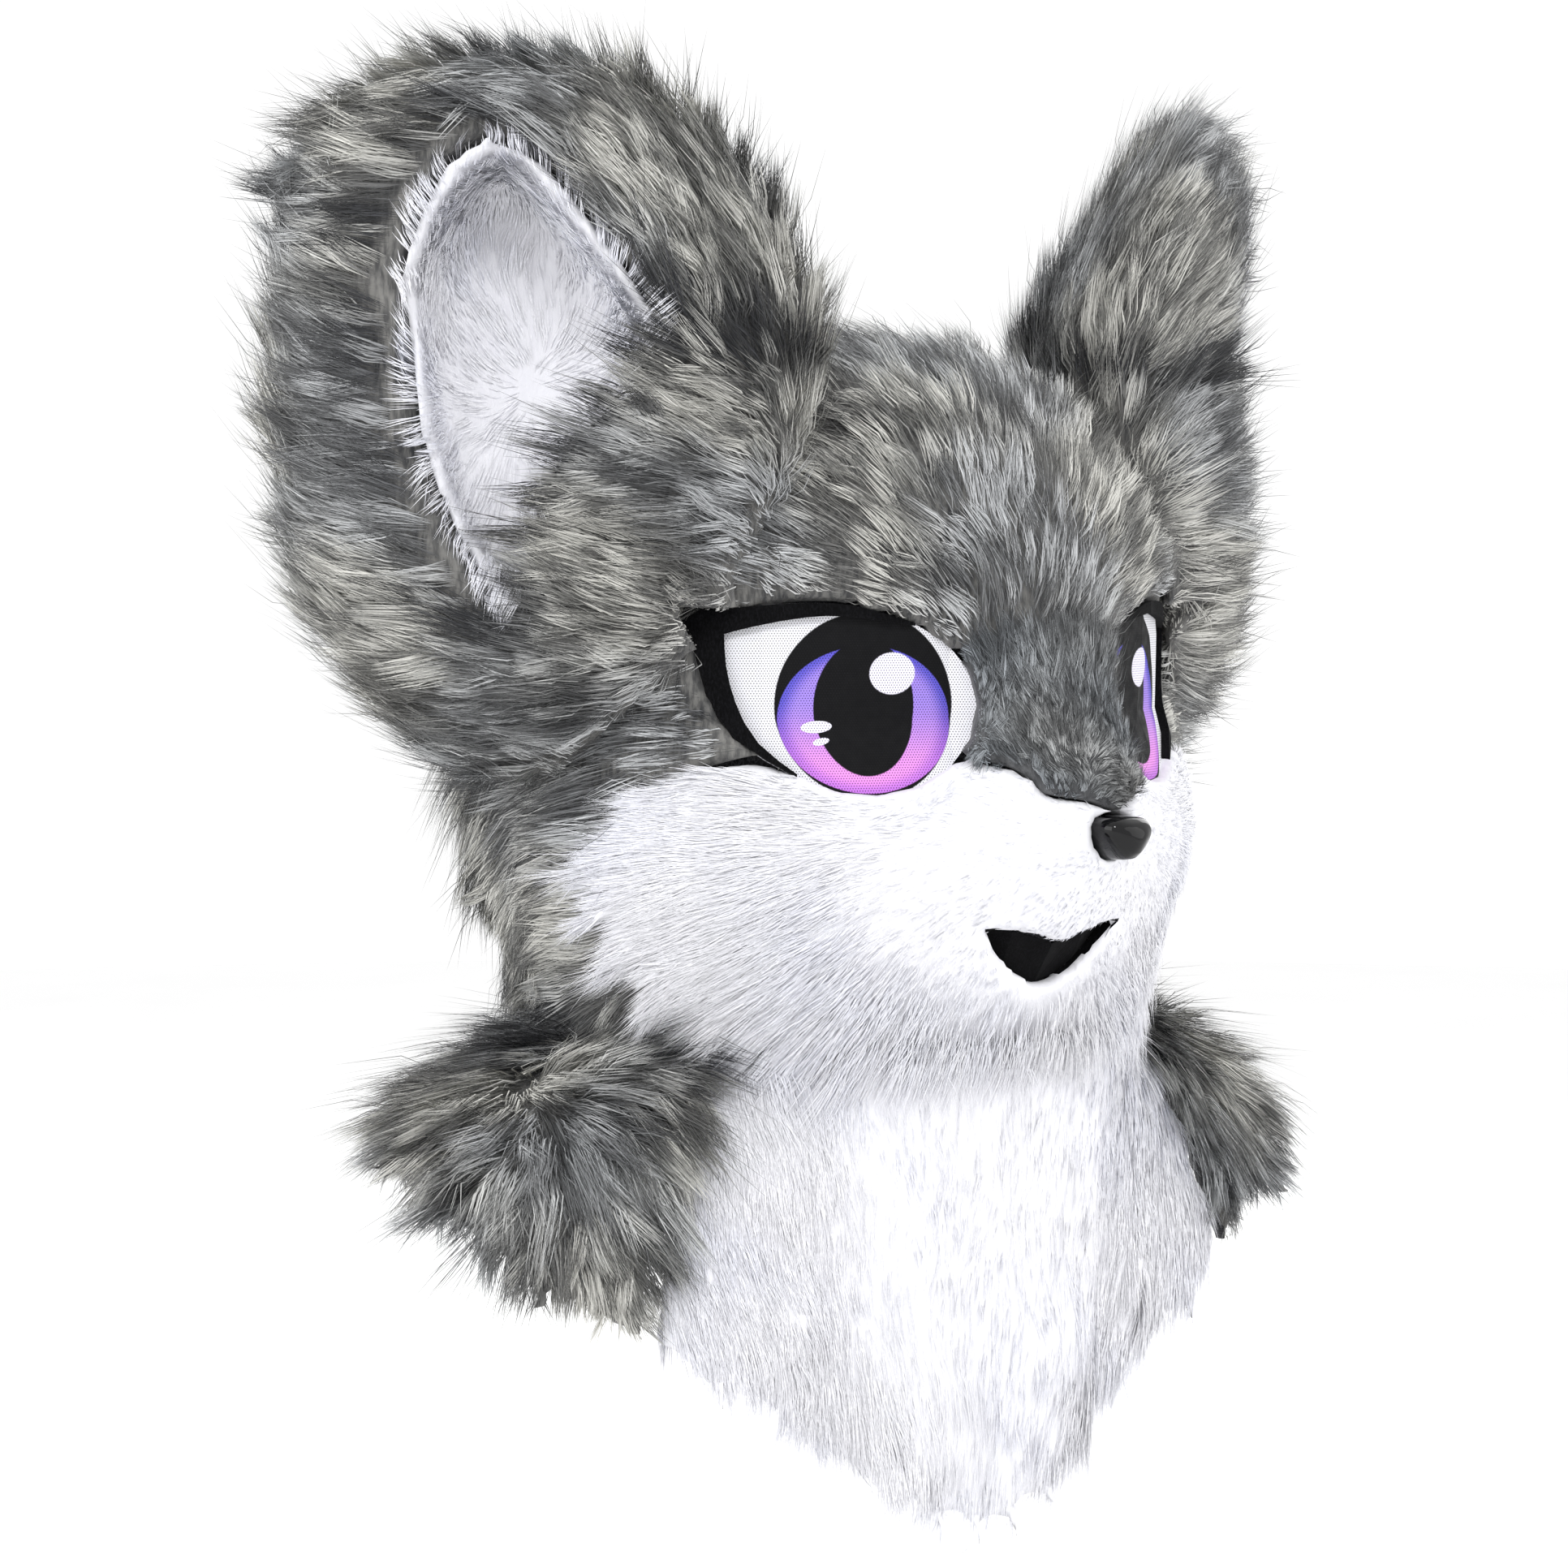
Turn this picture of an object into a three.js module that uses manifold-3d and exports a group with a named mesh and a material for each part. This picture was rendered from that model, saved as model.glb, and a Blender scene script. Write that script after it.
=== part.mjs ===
// A furry costume head of a grey and white canine: a hollow foam base covered by fur panels,
// two big cupped ears, printed mesh eyes under felt lids, a small glossy nose, an open mouth,
// and a fur cape that lies on the shoulders with a white bib in front.
// Millimetres, +Z up, the face looks along -Y, and the wearer's left is +X.
// The origin is inside the crown, where the base sits on the wearer's head.
import * as THREE from "three";
import { mergeVertices } from "three/addons/utils/BufferGeometryUtils.js";
import Module from "manifold-3d";

const wasm = await Module();
wasm.setup();

// Layers, from the outside of the fur inwards
const GAP = 0.3;
const FUR = 14;
const FOAM = 14;
const BASE_INSET = FUR + GAP;
const CAVITY_INSET = BASE_INSET + FOAM;
const CROWN_TOP = CAVITY_INSET;

// Points closer than this are one point, and slopes are measured over this share of a surface
const WELD = 1e-4;
const SLOPE_STEP = 1e-3;

// Head, to the outside of the fur
const HEAD = {
  height: 313,
  halfWidth: 181,
  faceReach: 150,
  backReach: 173,
  snout: 44,
  snoutSpread: THREE.MathUtils.degToRad(15),
};
const HEAD_BOTTOM = CROWN_TOP - HEAD.height;

// Each row is a level section of the head. level is a share of the height, side, face and back
// are shares of halfWidth, faceReach and backReach, and snout is a share of the snout's length.
const HEAD_ROWS = [
  { level: 0, side: 0.805, face: 0.775, back: 0.8, snout: 0 },
  { level: 0.051, side: 0.845, face: 0.82, back: 0.82, snout: 0.1 },
  { level: 0.115, side: 0.9, face: 0.87, back: 0.83, snout: 0.16 },
  { level: 0.185, side: 0.955, face: 0.925, back: 0.865, snout: 0.3 },
  { level: 0.249, side: 0.985, face: 0.965, back: 0.905, snout: 0.6 },
  { level: 0.318, side: 1, face: 0.955, back: 0.94, snout: 0.88 },
  { level: 0.4, side: 1, face: 0.87, back: 0.96, snout: 0.97 },
  { level: 0.473, side: 0.99, face: 0.813, back: 0.97, snout: 0.84 },
  { level: 0.569, side: 0.975, face: 0.833, back: 0.975, snout: 0.48 },
  { level: 0.665, side: 0.935, face: 0.873, back: 0.95, snout: 0.11 },
  { level: 0.76, side: 0.865, face: 0.84, back: 0.895, snout: 0 },
  { level: 0.863, side: 0.735, face: 0.735, back: 0.77, snout: 0 },
  { level: 0.936, side: 0.545, face: 0.57, back: 0.58, snout: 0 },
  { level: 0.981, side: 0.3, face: 0.33, back: 0.33, snout: 0 },
  { level: 1, side: 0, face: 0, back: 0, snout: 0 },
];
// Rings and directions of the points of the head's outside, closer together on the face, and of
// the coarser surface where the fur meets the foam; directions are in degrees from the front
const OUTSIDE = { rings: 12, azimuths: [0, 7, 14, 22, 32, 44, 57, 72, 90, 112, 135, 158] };
const BACKING = { rings: 9, azimuths: [0, 10, 21, 34, 50, 70, 92, 115, 137, 159] };

// The white cheeks and muzzle, and the short grey fur on the bridge of the nose: rows from the
// middle of the face outwards, with their upper and lower edges as shares of the head's height
const WHITE_ROWS = [
  { azimuth: 0, top: 0.325, bottom: -0.2 },
  { azimuth: 10, top: 0.358, bottom: -0.2 },
  { azimuth: 19, top: 0.407, bottom: -0.2 },
  { azimuth: 32, top: 0.388, bottom: -0.2 },
  { azimuth: 47, top: 0.37, bottom: -0.2 },
  { azimuth: 56, top: 0.392, bottom: -0.2 },
  { azimuth: 62, top: 0.405, bottom: -0.2 },
  { azimuth: 69, top: 0.387, bottom: -0.02 },
  { azimuth: 74, top: 0.364, bottom: 0.083 },
  { azimuth: 77, top: 0.326, bottom: 0.153 },
  { azimuth: 79, top: 0.268, bottom: 0.235 },
];
const BRIDGE_ROWS = [
  { azimuth: 0, top: 0.58, bottom: 0.325 },
  { azimuth: 10, top: 0.57, bottom: 0.358 },
  { azimuth: 20, top: 0.55, bottom: 0.41 },
];

// Eyes: each lies in an upright plane turned outwards from the face
const EYE = {
  spread: 81.5,
  level: 0.482,
  turn: THREE.MathUtils.degToRad(26),
  halfWidth: 52,
  halfHeight: 39.5,
  cornerReach: 88,
  sightHalfWidth: 33,
  sightHalfHeight: 26,
  rimInset: 9,
  meshThickness: 2,
  lidThickness: 4,
  lidEnd: 1.2,
  middleReach: 97.5,
};
// Points of the lid's outer and inner edges, from the inner end over the corner to the lower end:
// out is a share of cornerReach and up is a share of halfHeight
const LID_BROW = [
  { out: 0.07, up: 1.1 },
  { out: 0.32, up: 1.13 },
  { out: 0.55, up: 1.1 },
  { out: 0.77, up: 1.05 },
  { out: 1, up: 1.12 },
];
const LID_LASH = [
  { out: 0.85, up: 0.65 },
  { out: 0.79, up: 0.15 },
  { out: 0.66, up: -0.37 },
];
const LID_SIGHT_SIDE = [
  { out: 0.56, up: -0.4 },
  { out: 0.655, up: 0.03 },
  { out: 0.7, up: 0.44 },
];
const LID_BEND = { out: 0.71, up: 0.79 };
const LID_UNDER_BROW = [
  { out: 0.56, up: 0.88 },
  { out: 0.32, up: 0.97 },
  { out: 0.1, up: 0.98 },
];
const LID_INNER_ANGLE = THREE.MathUtils.degToRad(115);
const LID_LOWER_ANGLE = THREE.MathUtils.degToRad(310);

// Nose and mouth; the nose's root is how deep it goes into the fur, to the foam
const NOSE = { halfWidth: 13.5, halfHeight: 9.5, level: 0.298, proud: 8, dome: 9, slices: 4, root: 22.4 };
const MOUTH = { halfWidth: 43, depth: 27, level: 0.17, liningThickness: 3 };
// Curves round their outlines, as shares of those half sizes and of the mouth's depth: the points
// that bend each curve where it leaves and arrives, and its end
const NOSE_CURVES = [
  { leave: [0.5, -0.8], arrive: [1, 0], end: [1, 0.45] },
  { leave: [1, 0.9], arrive: [0.6, 1], end: [0, 1] },
  { leave: [-0.6, 1], arrive: [-1, 0.9], end: [-1, 0.45] },
  { leave: [-1, 0], arrive: [-0.5, -0.8], end: [-0.22, -1] },
  { leave: [-0.1, -1.04], arrive: [0.1, -1.04], end: [0.22, -1] },
];
const MOUTH_CURVES = [
  { leave: [-0.75, -0.45], arrive: [-0.35, -1], end: [0, -1] },
  { leave: [0.35, -1], arrive: [0.75, -0.45], end: [1, 0] },
  { leave: [0.6, -0.05], arrive: [0.27, -0.15], end: [0, -0.33] },
  { leave: [-0.27, -0.15], arrive: [-0.6, -0.05], end: [-1, 0] },
];
// Straight pieces for each curve of an outline
const PIECES = { lid: 2, eyeRim: 9, sight: 12, nose: 5, mouth: 8 };

// Ears: each stands in an upright frame that is turned outwards, with its own across axis that
// points outwards and ahead axis that points the way the ear faces
const EAR = {
  turn: THREE.MathUtils.degToRad(40),
  height: 318,
  foot: 0.351,
  across: 134,
  ahead: 134,
  halfWidth: 117,
  halfDepth: 42,
  hollowHeight: 225,
  hollowFoot: 0.195,
  hollowHalfWidth: 59,
  hollowHalfDepth: 73,
  lining: 7,
};
// Level sections of the ear's outside and of its hollow: width, depth and the middle's shift
// across are shares of that form's half sizes, and shift ahead is a share of the ear's halfDepth
const EAR_ROWS = [
  { level: 0, width: 0.08, depth: 0.2, across: 0.03, ahead: -0.6 },
  { level: 0.025, width: 0.25, depth: 0.42, across: 0.04, ahead: -0.55 },
  { level: 0.088, width: 0.48, depth: 0.8, across: 0.06, ahead: -0.4 },
  { level: 0.182, width: 0.69, depth: 1, across: 0.06, ahead: -0.2 },
  { level: 0.292, width: 0.85, depth: 1.07, across: 0.04, ahead: -0.1 },
  { level: 0.418, width: 0.96, depth: 1.2, across: 0.02, ahead: -0.18 },
  { level: 0.544, width: 1, depth: 1.28, across: 0, ahead: -0.28 },
  { level: 0.67, width: 0.96, depth: 1.2, across: 0.02, ahead: -0.13 },
  { level: 0.78, width: 0.875, depth: 0.97, across: 0.06, ahead: 0.1 },
  { level: 0.874, width: 0.71, depth: 0.69, across: 0.12, ahead: 0.31 },
  { level: 0.947, width: 0.5, depth: 0.48, across: 0.17, ahead: 0.38 },
  { level: 0.985, width: 0.26, depth: 0.27, across: 0.21, ahead: 0.43 },
  { level: 1, width: 0, depth: 0, across: 0.23, ahead: 0.43 },
];
const HOLLOW_ROWS = [
  { level: 0, width: 0.05, depth: 0.2, across: 0.18, ahead: 1.21 },
  { level: 0.06, width: 0.14, depth: 0.35, across: 0.22, ahead: 1.21 },
  { level: 0.17, width: 0.27, depth: 0.48, across: 0.34, ahead: 1.21 },
  { level: 0.29, width: 0.41, depth: 0.64, across: 0.44, ahead: 1.21 },
  { level: 0.38, width: 0.56, depth: 0.75, across: 0.41, ahead: 1.21 },
  { level: 0.47, width: 0.75, depth: 0.86, across: 0.27, ahead: 1.21 },
  { level: 0.56, width: 0.97, depth: 0.97, across: 0.1, ahead: 1.21 },
  { level: 0.64, width: 1, depth: 1, across: 0.12, ahead: 1.21 },
  { level: 0.72, width: 0.9, depth: 1, across: 0.24, ahead: 1.21 },
  { level: 0.8, width: 0.73, depth: 0.97, across: 0.31, ahead: 1.21 },
  { level: 0.88, width: 0.53, depth: 0.92, across: 0.36, ahead: 1.21 },
  { level: 0.95, width: 0.32, depth: 0.78, across: 0.39, ahead: 1.21 },
  { level: 1, width: 0, depth: 0, across: 0.41, ahead: 1.21 },
];
const EAR_SIDES = 14;
const EAR_RINGS = 9;

// Cape over the shoulders: rows round the neck, in degrees from the front, with the hem's
// distance from the neck's axis and its drop below the head as shares of reach and drop
const CAPE = {
  reach: 252,
  drop: 222,
  bulge: 0.4,
  wall: 12,
  seam: 68,
  rings: 3,
  ruffColumns: 18,
  bibColumns: 16,
};
const CAPE_ROWS = [
  { azimuth: 0, reach: 0.39, drop: 1 },
  { azimuth: 17, reach: 0.41, drop: 0.95 },
  { azimuth: 34, reach: 0.465, drop: 0.89 },
  { azimuth: 42.5, reach: 0.46, drop: 0.81 },
  { azimuth: 51, reach: 0.55, drop: 0.73 },
  { azimuth: 66, reach: 0.75, drop: 0.57 },
  { azimuth: 77, reach: 1, drop: 0.36 },
  { azimuth: 90, reach: 0.985, drop: 0.23 },
  { azimuth: 100, reach: 0.94, drop: 0.2 },
  { azimuth: 117, reach: 0.79, drop: 0.23 },
  { azimuth: 141, reach: 0.62, drop: 0.37 },
  { azimuth: 180, reach: 0.52, drop: 0.5 },
];
// Rows of locks along the cape; v runs from the hem to the neck
const RUFF_LOCK_ROWS = [
  { v: 0.07, count: 18, size: 0.8 },
  { v: 0.42, count: 8, size: 1 },
];
const BIB_LOCK_ROWS = [
  { v: 0.05, count: 10, size: 0.75 },
  { v: 0.35, count: 4, size: 0.9 },
];

// The white bib takes up the cape between these directions
const BIB_ROWS = [
  { azimuth: 0, top: 0.3, bottom: -1.2 },
  { azimuth: CAPE.seam / 2, top: 0.3, bottom: -1.2 },
  { azimuth: CAPE.seam, top: 0.3, bottom: -1.2 },
];

// A band cutter's nearest and furthest reach from the head's axis, and the reach where its edges
// are measured
const BAND = {
  near: 0.25 * HEAD.halfWidth,
  far: 2 * HEAD.halfWidth,
  typical: 0.8 * HEAD.halfWidth,
};
// Cutters through the face are this long
const CUT_LENGTH = 1.5 * HEAD.faceReach;

// Fur locks: length, width and thickness of one lock, its width half way along as a share, how
// deep its root sits in the fur, and how far its tip stands off it as a share of its length
const LOCK = { length: 40, width: 26, thickness: 14, waist: 0.8, sink: 5, lift: 0.18 };

const GREY_FUR = { color: 0x8d8c87, roughness: 0.95 };
const BRIDGE_FUR = { color: 0x6d6c6a, roughness: 0.95 };
const WHITE_FUR = { color: 0xeeeef2, roughness: 0.95 };
const FOAM_LOOK = { color: 0x3a3a3c, roughness: 0.9 };
const FELT_LOOK = { color: 0x050506, roughness: 0.85 };
const MESH_LOOK = { color: 0x8f78d6, roughness: 0.7 };
const NOSE_LOOK = { color: 0x08080a, roughness: 0.12 };

const radians = THREE.MathUtils.degToRad;

// Smooth value of one column at a place between rows, counted in rows
function between(rows, column, place) {
  const last = rows.length - 1;
  const i = Math.min(Math.floor(place), last - 1);
  const at = (k) => rows[Math.min(Math.max(k, 0), last)][column];
  const t = place - i;
  const before = at(i) - at(i - 1);
  const here = at(i + 1) - at(i);
  const after = at(i + 2) - at(i + 1);
  const leave = i === 0 ? here : (before + here) / 2;
  const arrive = i + 2 > last ? here : (here + after) / 2;
  const t2 = t * t;
  const t3 = t2 * t;
  return at(i) + (t3 - 2 * t2 + t) * leave + (3 * t2 - 2 * t3) * here + (t3 - t2) * arrive;
}

// Place between rows, counted in rows, where a rising column reaches a value
function placeOf(rows, column, value) {
  const next = rows.findIndex((row) => row[column] > value);
  if (next === 0) return 0;
  if (next < 0) return rows.length - 1;
  const low = rows[next - 1][column];
  return next - 1 + (value - low) / (rows[next][column] - low);
}

function sectionAt(rows, place) {
  return Object.fromEntries(Object.keys(rows[0]).map((name) => [name, between(rows, name, place)]));
}

// A closed triangle mesh as a solid that can be joined and cut
function solidOf(points, triangles) {
  return new wasm.Manifold(
    new wasm.Mesh({
      numProp: 3,
      vertProperties: new Float32Array(points.flatMap((p) => [p.x, p.y, p.z])),
      triVerts: new Uint32Array(triangles.flat()),
    }),
  );
}

function solidOfGeometry(geometry) {
  geometry.deleteAttribute("normal");
  geometry.deleteAttribute("uv");
  const merged = mergeVertices(geometry, WELD);
  return new wasm.Manifold(
    new wasm.Mesh({
      numProp: 3,
      vertProperties: merged.attributes.position.array,
      triVerts: new Uint32Array(merged.index.array),
    }),
  );
}

// Whether a quad is on the first half of its ring, so that both halves split as mirror images
const firstHalf = (i, j, rings) => 2 * j < rings[0].length;

// A solid through rings that run anticlockwise seen from the last one, with a point at each end
function loft(rings, start, end, turned = firstHalf) {
  const count = rings[0].length;
  const points = [start, ...rings.flat(), end];
  const triangles = [];
  const at = (i, j) => 1 + i * count + (j % count);
  for (let j = 0; j < count; j++) {
    triangles.push([0, at(0, j + 1), at(0, j)]);
    triangles.push([points.length - 1, at(rings.length - 1, j), at(rings.length - 1, j + 1)]);
    for (let i = 0; i + 1 < rings.length; i++) {
      const [a, b, c, d] = [at(i, j), at(i, j + 1), at(i + 1, j + 1), at(i + 1, j)];
      triangles.push(...(turned(i, j, rings) ? [[a, b, c], [a, c, d]] : [[a, b, d], [b, c, d]]));
    }
  }
  return solidOf(points, triangles);
}

// A sheet with thickness: surface(u, v) gives its outer side for u and v from 0 to 1
function thickSheet(surface, across, up, thickness) {
  const outer = [];
  const inner = [];
  for (let i = 0; i <= across; i++) {
    for (let j = 0; j <= up; j++) {
      const [u, v] = [i / across, j / up];
      outer.push(surface(u, v));
      inner.push(surface(u, v).addScaledVector(normalOf(surface, u, v), -thickness));
    }
  }
  const half = outer.length;
  const at = (i, j) => i * (up + 1) + j;
  const triangles = [];
  const quad = (a, b, c, d) => triangles.push([a, b, c], [a, c, d]);
  for (let i = 0; i < across; i++) {
    for (let j = 0; j < up; j++) {
      quad(at(i, j), at(i + 1, j), at(i + 1, j + 1), at(i, j + 1));
      quad(half + at(i, j), half + at(i, j + 1), half + at(i + 1, j + 1), half + at(i + 1, j));
    }
    quad(at(i, 0), half + at(i, 0), half + at(i + 1, 0), at(i + 1, 0));
    quad(at(i + 1, up), half + at(i + 1, up), half + at(i, up), at(i, up));
  }
  for (let j = 0; j < up; j++) {
    quad(at(0, j + 1), half + at(0, j + 1), half + at(0, j), at(0, j));
    quad(at(across, j), half + at(across, j), half + at(across, j + 1), at(across, j + 1));
  }
  return solidOf([...outer, ...inner], triangles);
}

// Outward normal of a surface, from its slopes
function normalOf(surface, u, v) {
  const along = surface(u + SLOPE_STEP, v).sub(surface(u - SLOPE_STEP, v));
  const up = surface(u, v + SLOPE_STEP).sub(surface(u, v - SLOPE_STEP));
  return along.cross(up).normalize();
}

// The largest body of a solid, without the slivers that a cut can leave
function mainBody(solid) {
  const bodies = solid.decompose();
  return bodies.reduce((best, body) => (body.volume() > best.volume() ? body : best));
}

// The same solid on the other side of the head
function mirrored(solid) {
  const { numProp, vertProperties, triVerts } = solid.getMesh();
  const flipped = Float32Array.from(vertProperties);
  const turned = Uint32Array.from(triVerts);
  for (let i = 0; i < flipped.length; i += numProp) flipped[i] = -flipped[i];
  for (let i = 0; i < turned.length; i += 3) {
    [turned[i + 1], turned[i + 2]] = [triVerts[i + 2], triVerts[i + 1]];
  }
  return new wasm.Manifold(
    new wasm.Mesh({ numProp, vertProperties: flipped, triVerts: turned }),
  );
}

// A point at a distance and direction from the head's axis; azimuth 0 is the front
function around(distance, azimuth, z) {
  return new THREE.Vector3(distance * Math.sin(azimuth), -distance * Math.cos(azimuth), z);
}

// Point of the head's form, moved in by inset; place counts HEAD_ROWS
function headPoint(azimuth, place, inset = 0) {
  const row = sectionAt(HEAD_ROWS, place);
  const turn = Math.atan2(Math.sin(azimuth), Math.cos(azimuth));
  const side = row.side * (HEAD.halfWidth - inset);
  const face = row.face * (HEAD.faceReach - inset);
  const back = row.back * (HEAD.backReach - inset);
  const depth = Math.cos(turn) > 0 ? face : back;
  const oval = 1 / Math.hypot(Math.sin(turn) / side, Math.cos(turn) / depth);
  const bump = row.snout * HEAD.snout * Math.exp(-((turn / HEAD.snoutSpread) ** 2));
  const height = CROWN_TOP - inset - HEAD_BOTTOM;
  return around(oval + bump, turn, HEAD_BOTTOM + row.level * height);
}

// The head's form moved in by inset, and lengthened below by drop so that it can cut through
function headSkin(inset, drop = 0, grid = OUTSIDE) {
  const last = HEAD_ROWS.length - 1;
  const mirror = grid.azimuths.slice(1).map((azimuth) => 360 - azimuth);
  const azimuths = [...grid.azimuths, 180, ...mirror.reverse()].map(radians);
  const rings = [];
  for (let i = 0; i < grid.rings; i++) {
    rings.push(azimuths.map((azimuth) => headPoint(azimuth, (last * i) / grid.rings, inset)));
  }
  const low = HEAD_BOTTOM - drop;
  if (drop > 0) rings.unshift(rings[0].map((p) => p.clone().setZ(low)));
  return loft(rings, new THREE.Vector3(0, 0, low), headPoint(0, last, inset));
}

// A wedge of space between a band's lower and upper edges on both sides of the face, grown by a
// margin on all its sides
function bandCutter(rows, margin) {
  const last = rows.length - 1;
  const rowAt = (k) => rows[Math.abs(k)];
  const direction = (k) => Math.sign(k) * radians(rowAt(k).azimuth);
  const edge = (k, column) => HEAD_BOTTOM + rowAt(k)[column] * HEAD.height;
  const section = (k) => {
    const inner = THREE.MathUtils.clamp(k, 1 - last, last - 1);
    const run = BAND.typical * (direction(inner + 1) - direction(inner - 1));
    const rise = (column) => edge(inner + 1, column) - edge(inner - 1, column);
    const slope = (column) => Math.hypot(1, rise(column) / run);
    const low = edge(k, "bottom") - margin * slope("bottom");
    const high = edge(k, "top") + margin * slope("top");
    const widened = Math.abs(k) === last ? (Math.sign(k) * margin) / BAND.typical : 0;
    const turn = direction(k) + widened;
    const corners = [[BAND.near, low], [BAND.near, high], [BAND.far, high], [BAND.far, low]];
    return corners.map(([reach, z]) => around(reach, turn, z));
  };
  const sections = [];
  for (let k = -last; k <= last; k++) sections.push(section(k));
  const total = (ring) => ring.reduce((sum, p) => sum.add(p), new THREE.Vector3());
  const ends = [sections[0], sections.at(-1)].map((ring) => total(ring).divideScalar(ring.length));
  return loft(sections, ...ends, (i) => i < last);
}

// One three-sided lock of fur on a surface point, pointing along flow
function lock(point, normal, flow, size = 1, lift = LOCK.lift) {
  const along = flow.clone().projectOnPlane(normal).normalize();
  const side = normal.clone().cross(along);
  const corner = (centre, across, up) =>
    centre.clone().addScaledVector(side, across).addScaledVector(normal, up);
  const ring = (share, width, rise) => {
    const centre = point.clone().addScaledVector(along, share * LOCK.length * size);
    centre.addScaledVector(normal, rise);
    const half = (width * LOCK.width * size) / 2;
    const thick = (width * LOCK.thickness * size) / 2;
    return [corner(centre, half, -thick), corner(centre, 0, thick), corner(centre, -half, -thick)];
  };
  const root = point.clone().addScaledVector(normal, -LOCK.sink);
  const tip = point.clone().addScaledVector(along, LOCK.length * size);
  tip.addScaledVector(normal, lift * LOCK.length * size);
  return loft([ring(0, 1, -LOCK.sink), ring(1 / 2, LOCK.waist, 0)], root, tip, () => true);
}

// Locks at a list of places on a surface; each place gives u, v, lean from straight down, and size
function locksOn(surface, places) {
  return places.map(({ u, v, lean = 0, size = 1 }) => {
    const down = surface(u, v - SLOPE_STEP).sub(surface(u, v + SLOPE_STEP)).normalize();
    const along = surface(u + SLOPE_STEP, v).sub(surface(u - SLOPE_STEP, v)).normalize();
    const flow = down.multiplyScalar(Math.cos(lean)).addScaledVector(along, Math.sin(lean));
    return lock(surface(u, v), normalOf(surface, u, v), flow, size);
  });
}

function joined(solids) {
  return solids.reduce((whole, solid) => whole.add(solid));
}

// The head's outer form as a surface: u is a turn from the front and v a place in HEAD_ROWS
const headSurface = (u, v) => headPoint(u * 2 * Math.PI, v * (HEAD_ROWS.length - 1));
const headLevel = (level) => placeOf(HEAD_ROWS, "level", level) / (HEAD_ROWS.length - 1);

// Rows of locks round the back of the head; from is the first row's direction from the front
const CROWN_LOCK_ROWS = [
  { level: 0.15, from: 84, count: 7, size: 1.05 },
  { level: 0.3, from: 98, count: 6, size: 1.05 },
  { level: 0.46, from: 114, count: 4, size: 1 },
  { level: 0.66, from: 126, count: 3, size: 1 },
];
const CHEEK_LOCK_ROWS = [
  { azimuth: 74, level: 0.31, lean: 0.9 },
  { azimuth: 75, level: 0.245, lean: 0.8 },
  { azimuth: 74, level: 0.18, lean: 0.65 },
  { azimuth: 70, level: 0.12, lean: 0.5 },
  { azimuth: 63, level: 0.07, lean: 0.35 },
];

function crownLockPlaces() {
  return CROWN_LOCK_ROWS.flatMap(({ level, from, count, size }) =>
    Array.from({ length: count }, (_, k) => {
      const azimuth = from + ((360 - 2 * from) * (k + 0.5)) / count;
      return { u: azimuth / 360, v: headLevel(level), size };
    }),
  );
}

// Locks where the white cheek fur runs out over the grey, on both sides
function cheekLockPlaces() {
  return CHEEK_LOCK_ROWS.flatMap(({ azimuth, level, lean }) =>
    [1, -1].map((side) => ({
      u: (side * azimuth) / 360,
      v: headLevel(level),
      lean: side * lean,
    })),
  );
}

// Outline helpers for the eye, in its own plane
const lidPoint = ({ out, up }) => new THREE.Vector2(out * EYE.cornerReach, up * EYE.halfHeight);
const ellipsePoint = (angle) =>
  new THREE.Vector2(EYE.halfWidth * Math.cos(angle), EYE.halfHeight * Math.sin(angle));

// Points of a smooth open curve through the given ones, without the last
function smooth(points) {
  return new THREE.SplineCurve(points).getPoints(PIECES.lid * (points.length - 1)).slice(0, -1);
}

function eyeOutline() {
  const [inner, lower] = [ellipsePoint(LID_INNER_ANGLE), ellipsePoint(LID_LOWER_ANGLE)];
  const corner = lidPoint(LID_BROW.at(-1));
  const sizes = [EYE.halfWidth, EYE.halfHeight];
  const rim = new THREE.EllipseCurve(0, 0, ...sizes, LID_INNER_ANGLE, LID_LOWER_ANGLE);
  const lash = smooth([lower, ...LID_LASH.map(lidPoint).reverse(), corner]);
  const brow = smooth([corner, ...LID_BROW.slice(0, -1).map(lidPoint).reverse(), inner]);
  return [...rim.getPoints(PIECES.eyeRim).slice(0, -1), ...lash, ...brow];
}

function lidOutline() {
  const [inner, lower] = [ellipsePoint(LID_INNER_ANGLE), ellipsePoint(LID_LOWER_ANGLE)];
  const corner = lidPoint(LID_BROW.at(-1));
  const bend = lidPoint(LID_BEND);
  const lash = smooth([lower, ...LID_LASH.map(lidPoint).reverse(), corner]);
  const brow = smooth([corner, ...LID_BROW.slice(0, -1).map(lidPoint).reverse(), inner]);
  const [underInner, aboveLower] = [inner.clone(), lower.clone()];
  underInner.y -= EYE.lidEnd;
  aboveLower.y += EYE.lidEnd;
  const under = smooth([underInner, ...LID_UNDER_BROW.map(lidPoint).reverse(), bend]);
  const side = smooth([bend, ...LID_SIGHT_SIDE.map(lidPoint).reverse(), aboveLower]);
  return [...lash, ...brow, inner, ...under, ...side, aboveLower];
}

// Moves each point of an anticlockwise outline outwards
function grown(outline, distance) {
  return outline.map((point, i) => {
    const before = outline.at(i - 1);
    const after = outline[(i + 1) % outline.length];
    const edge = after.clone().sub(before).normalize();
    return new THREE.Vector2(point.x + edge.y * distance, point.y - edge.x * distance);
  });
}

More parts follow.
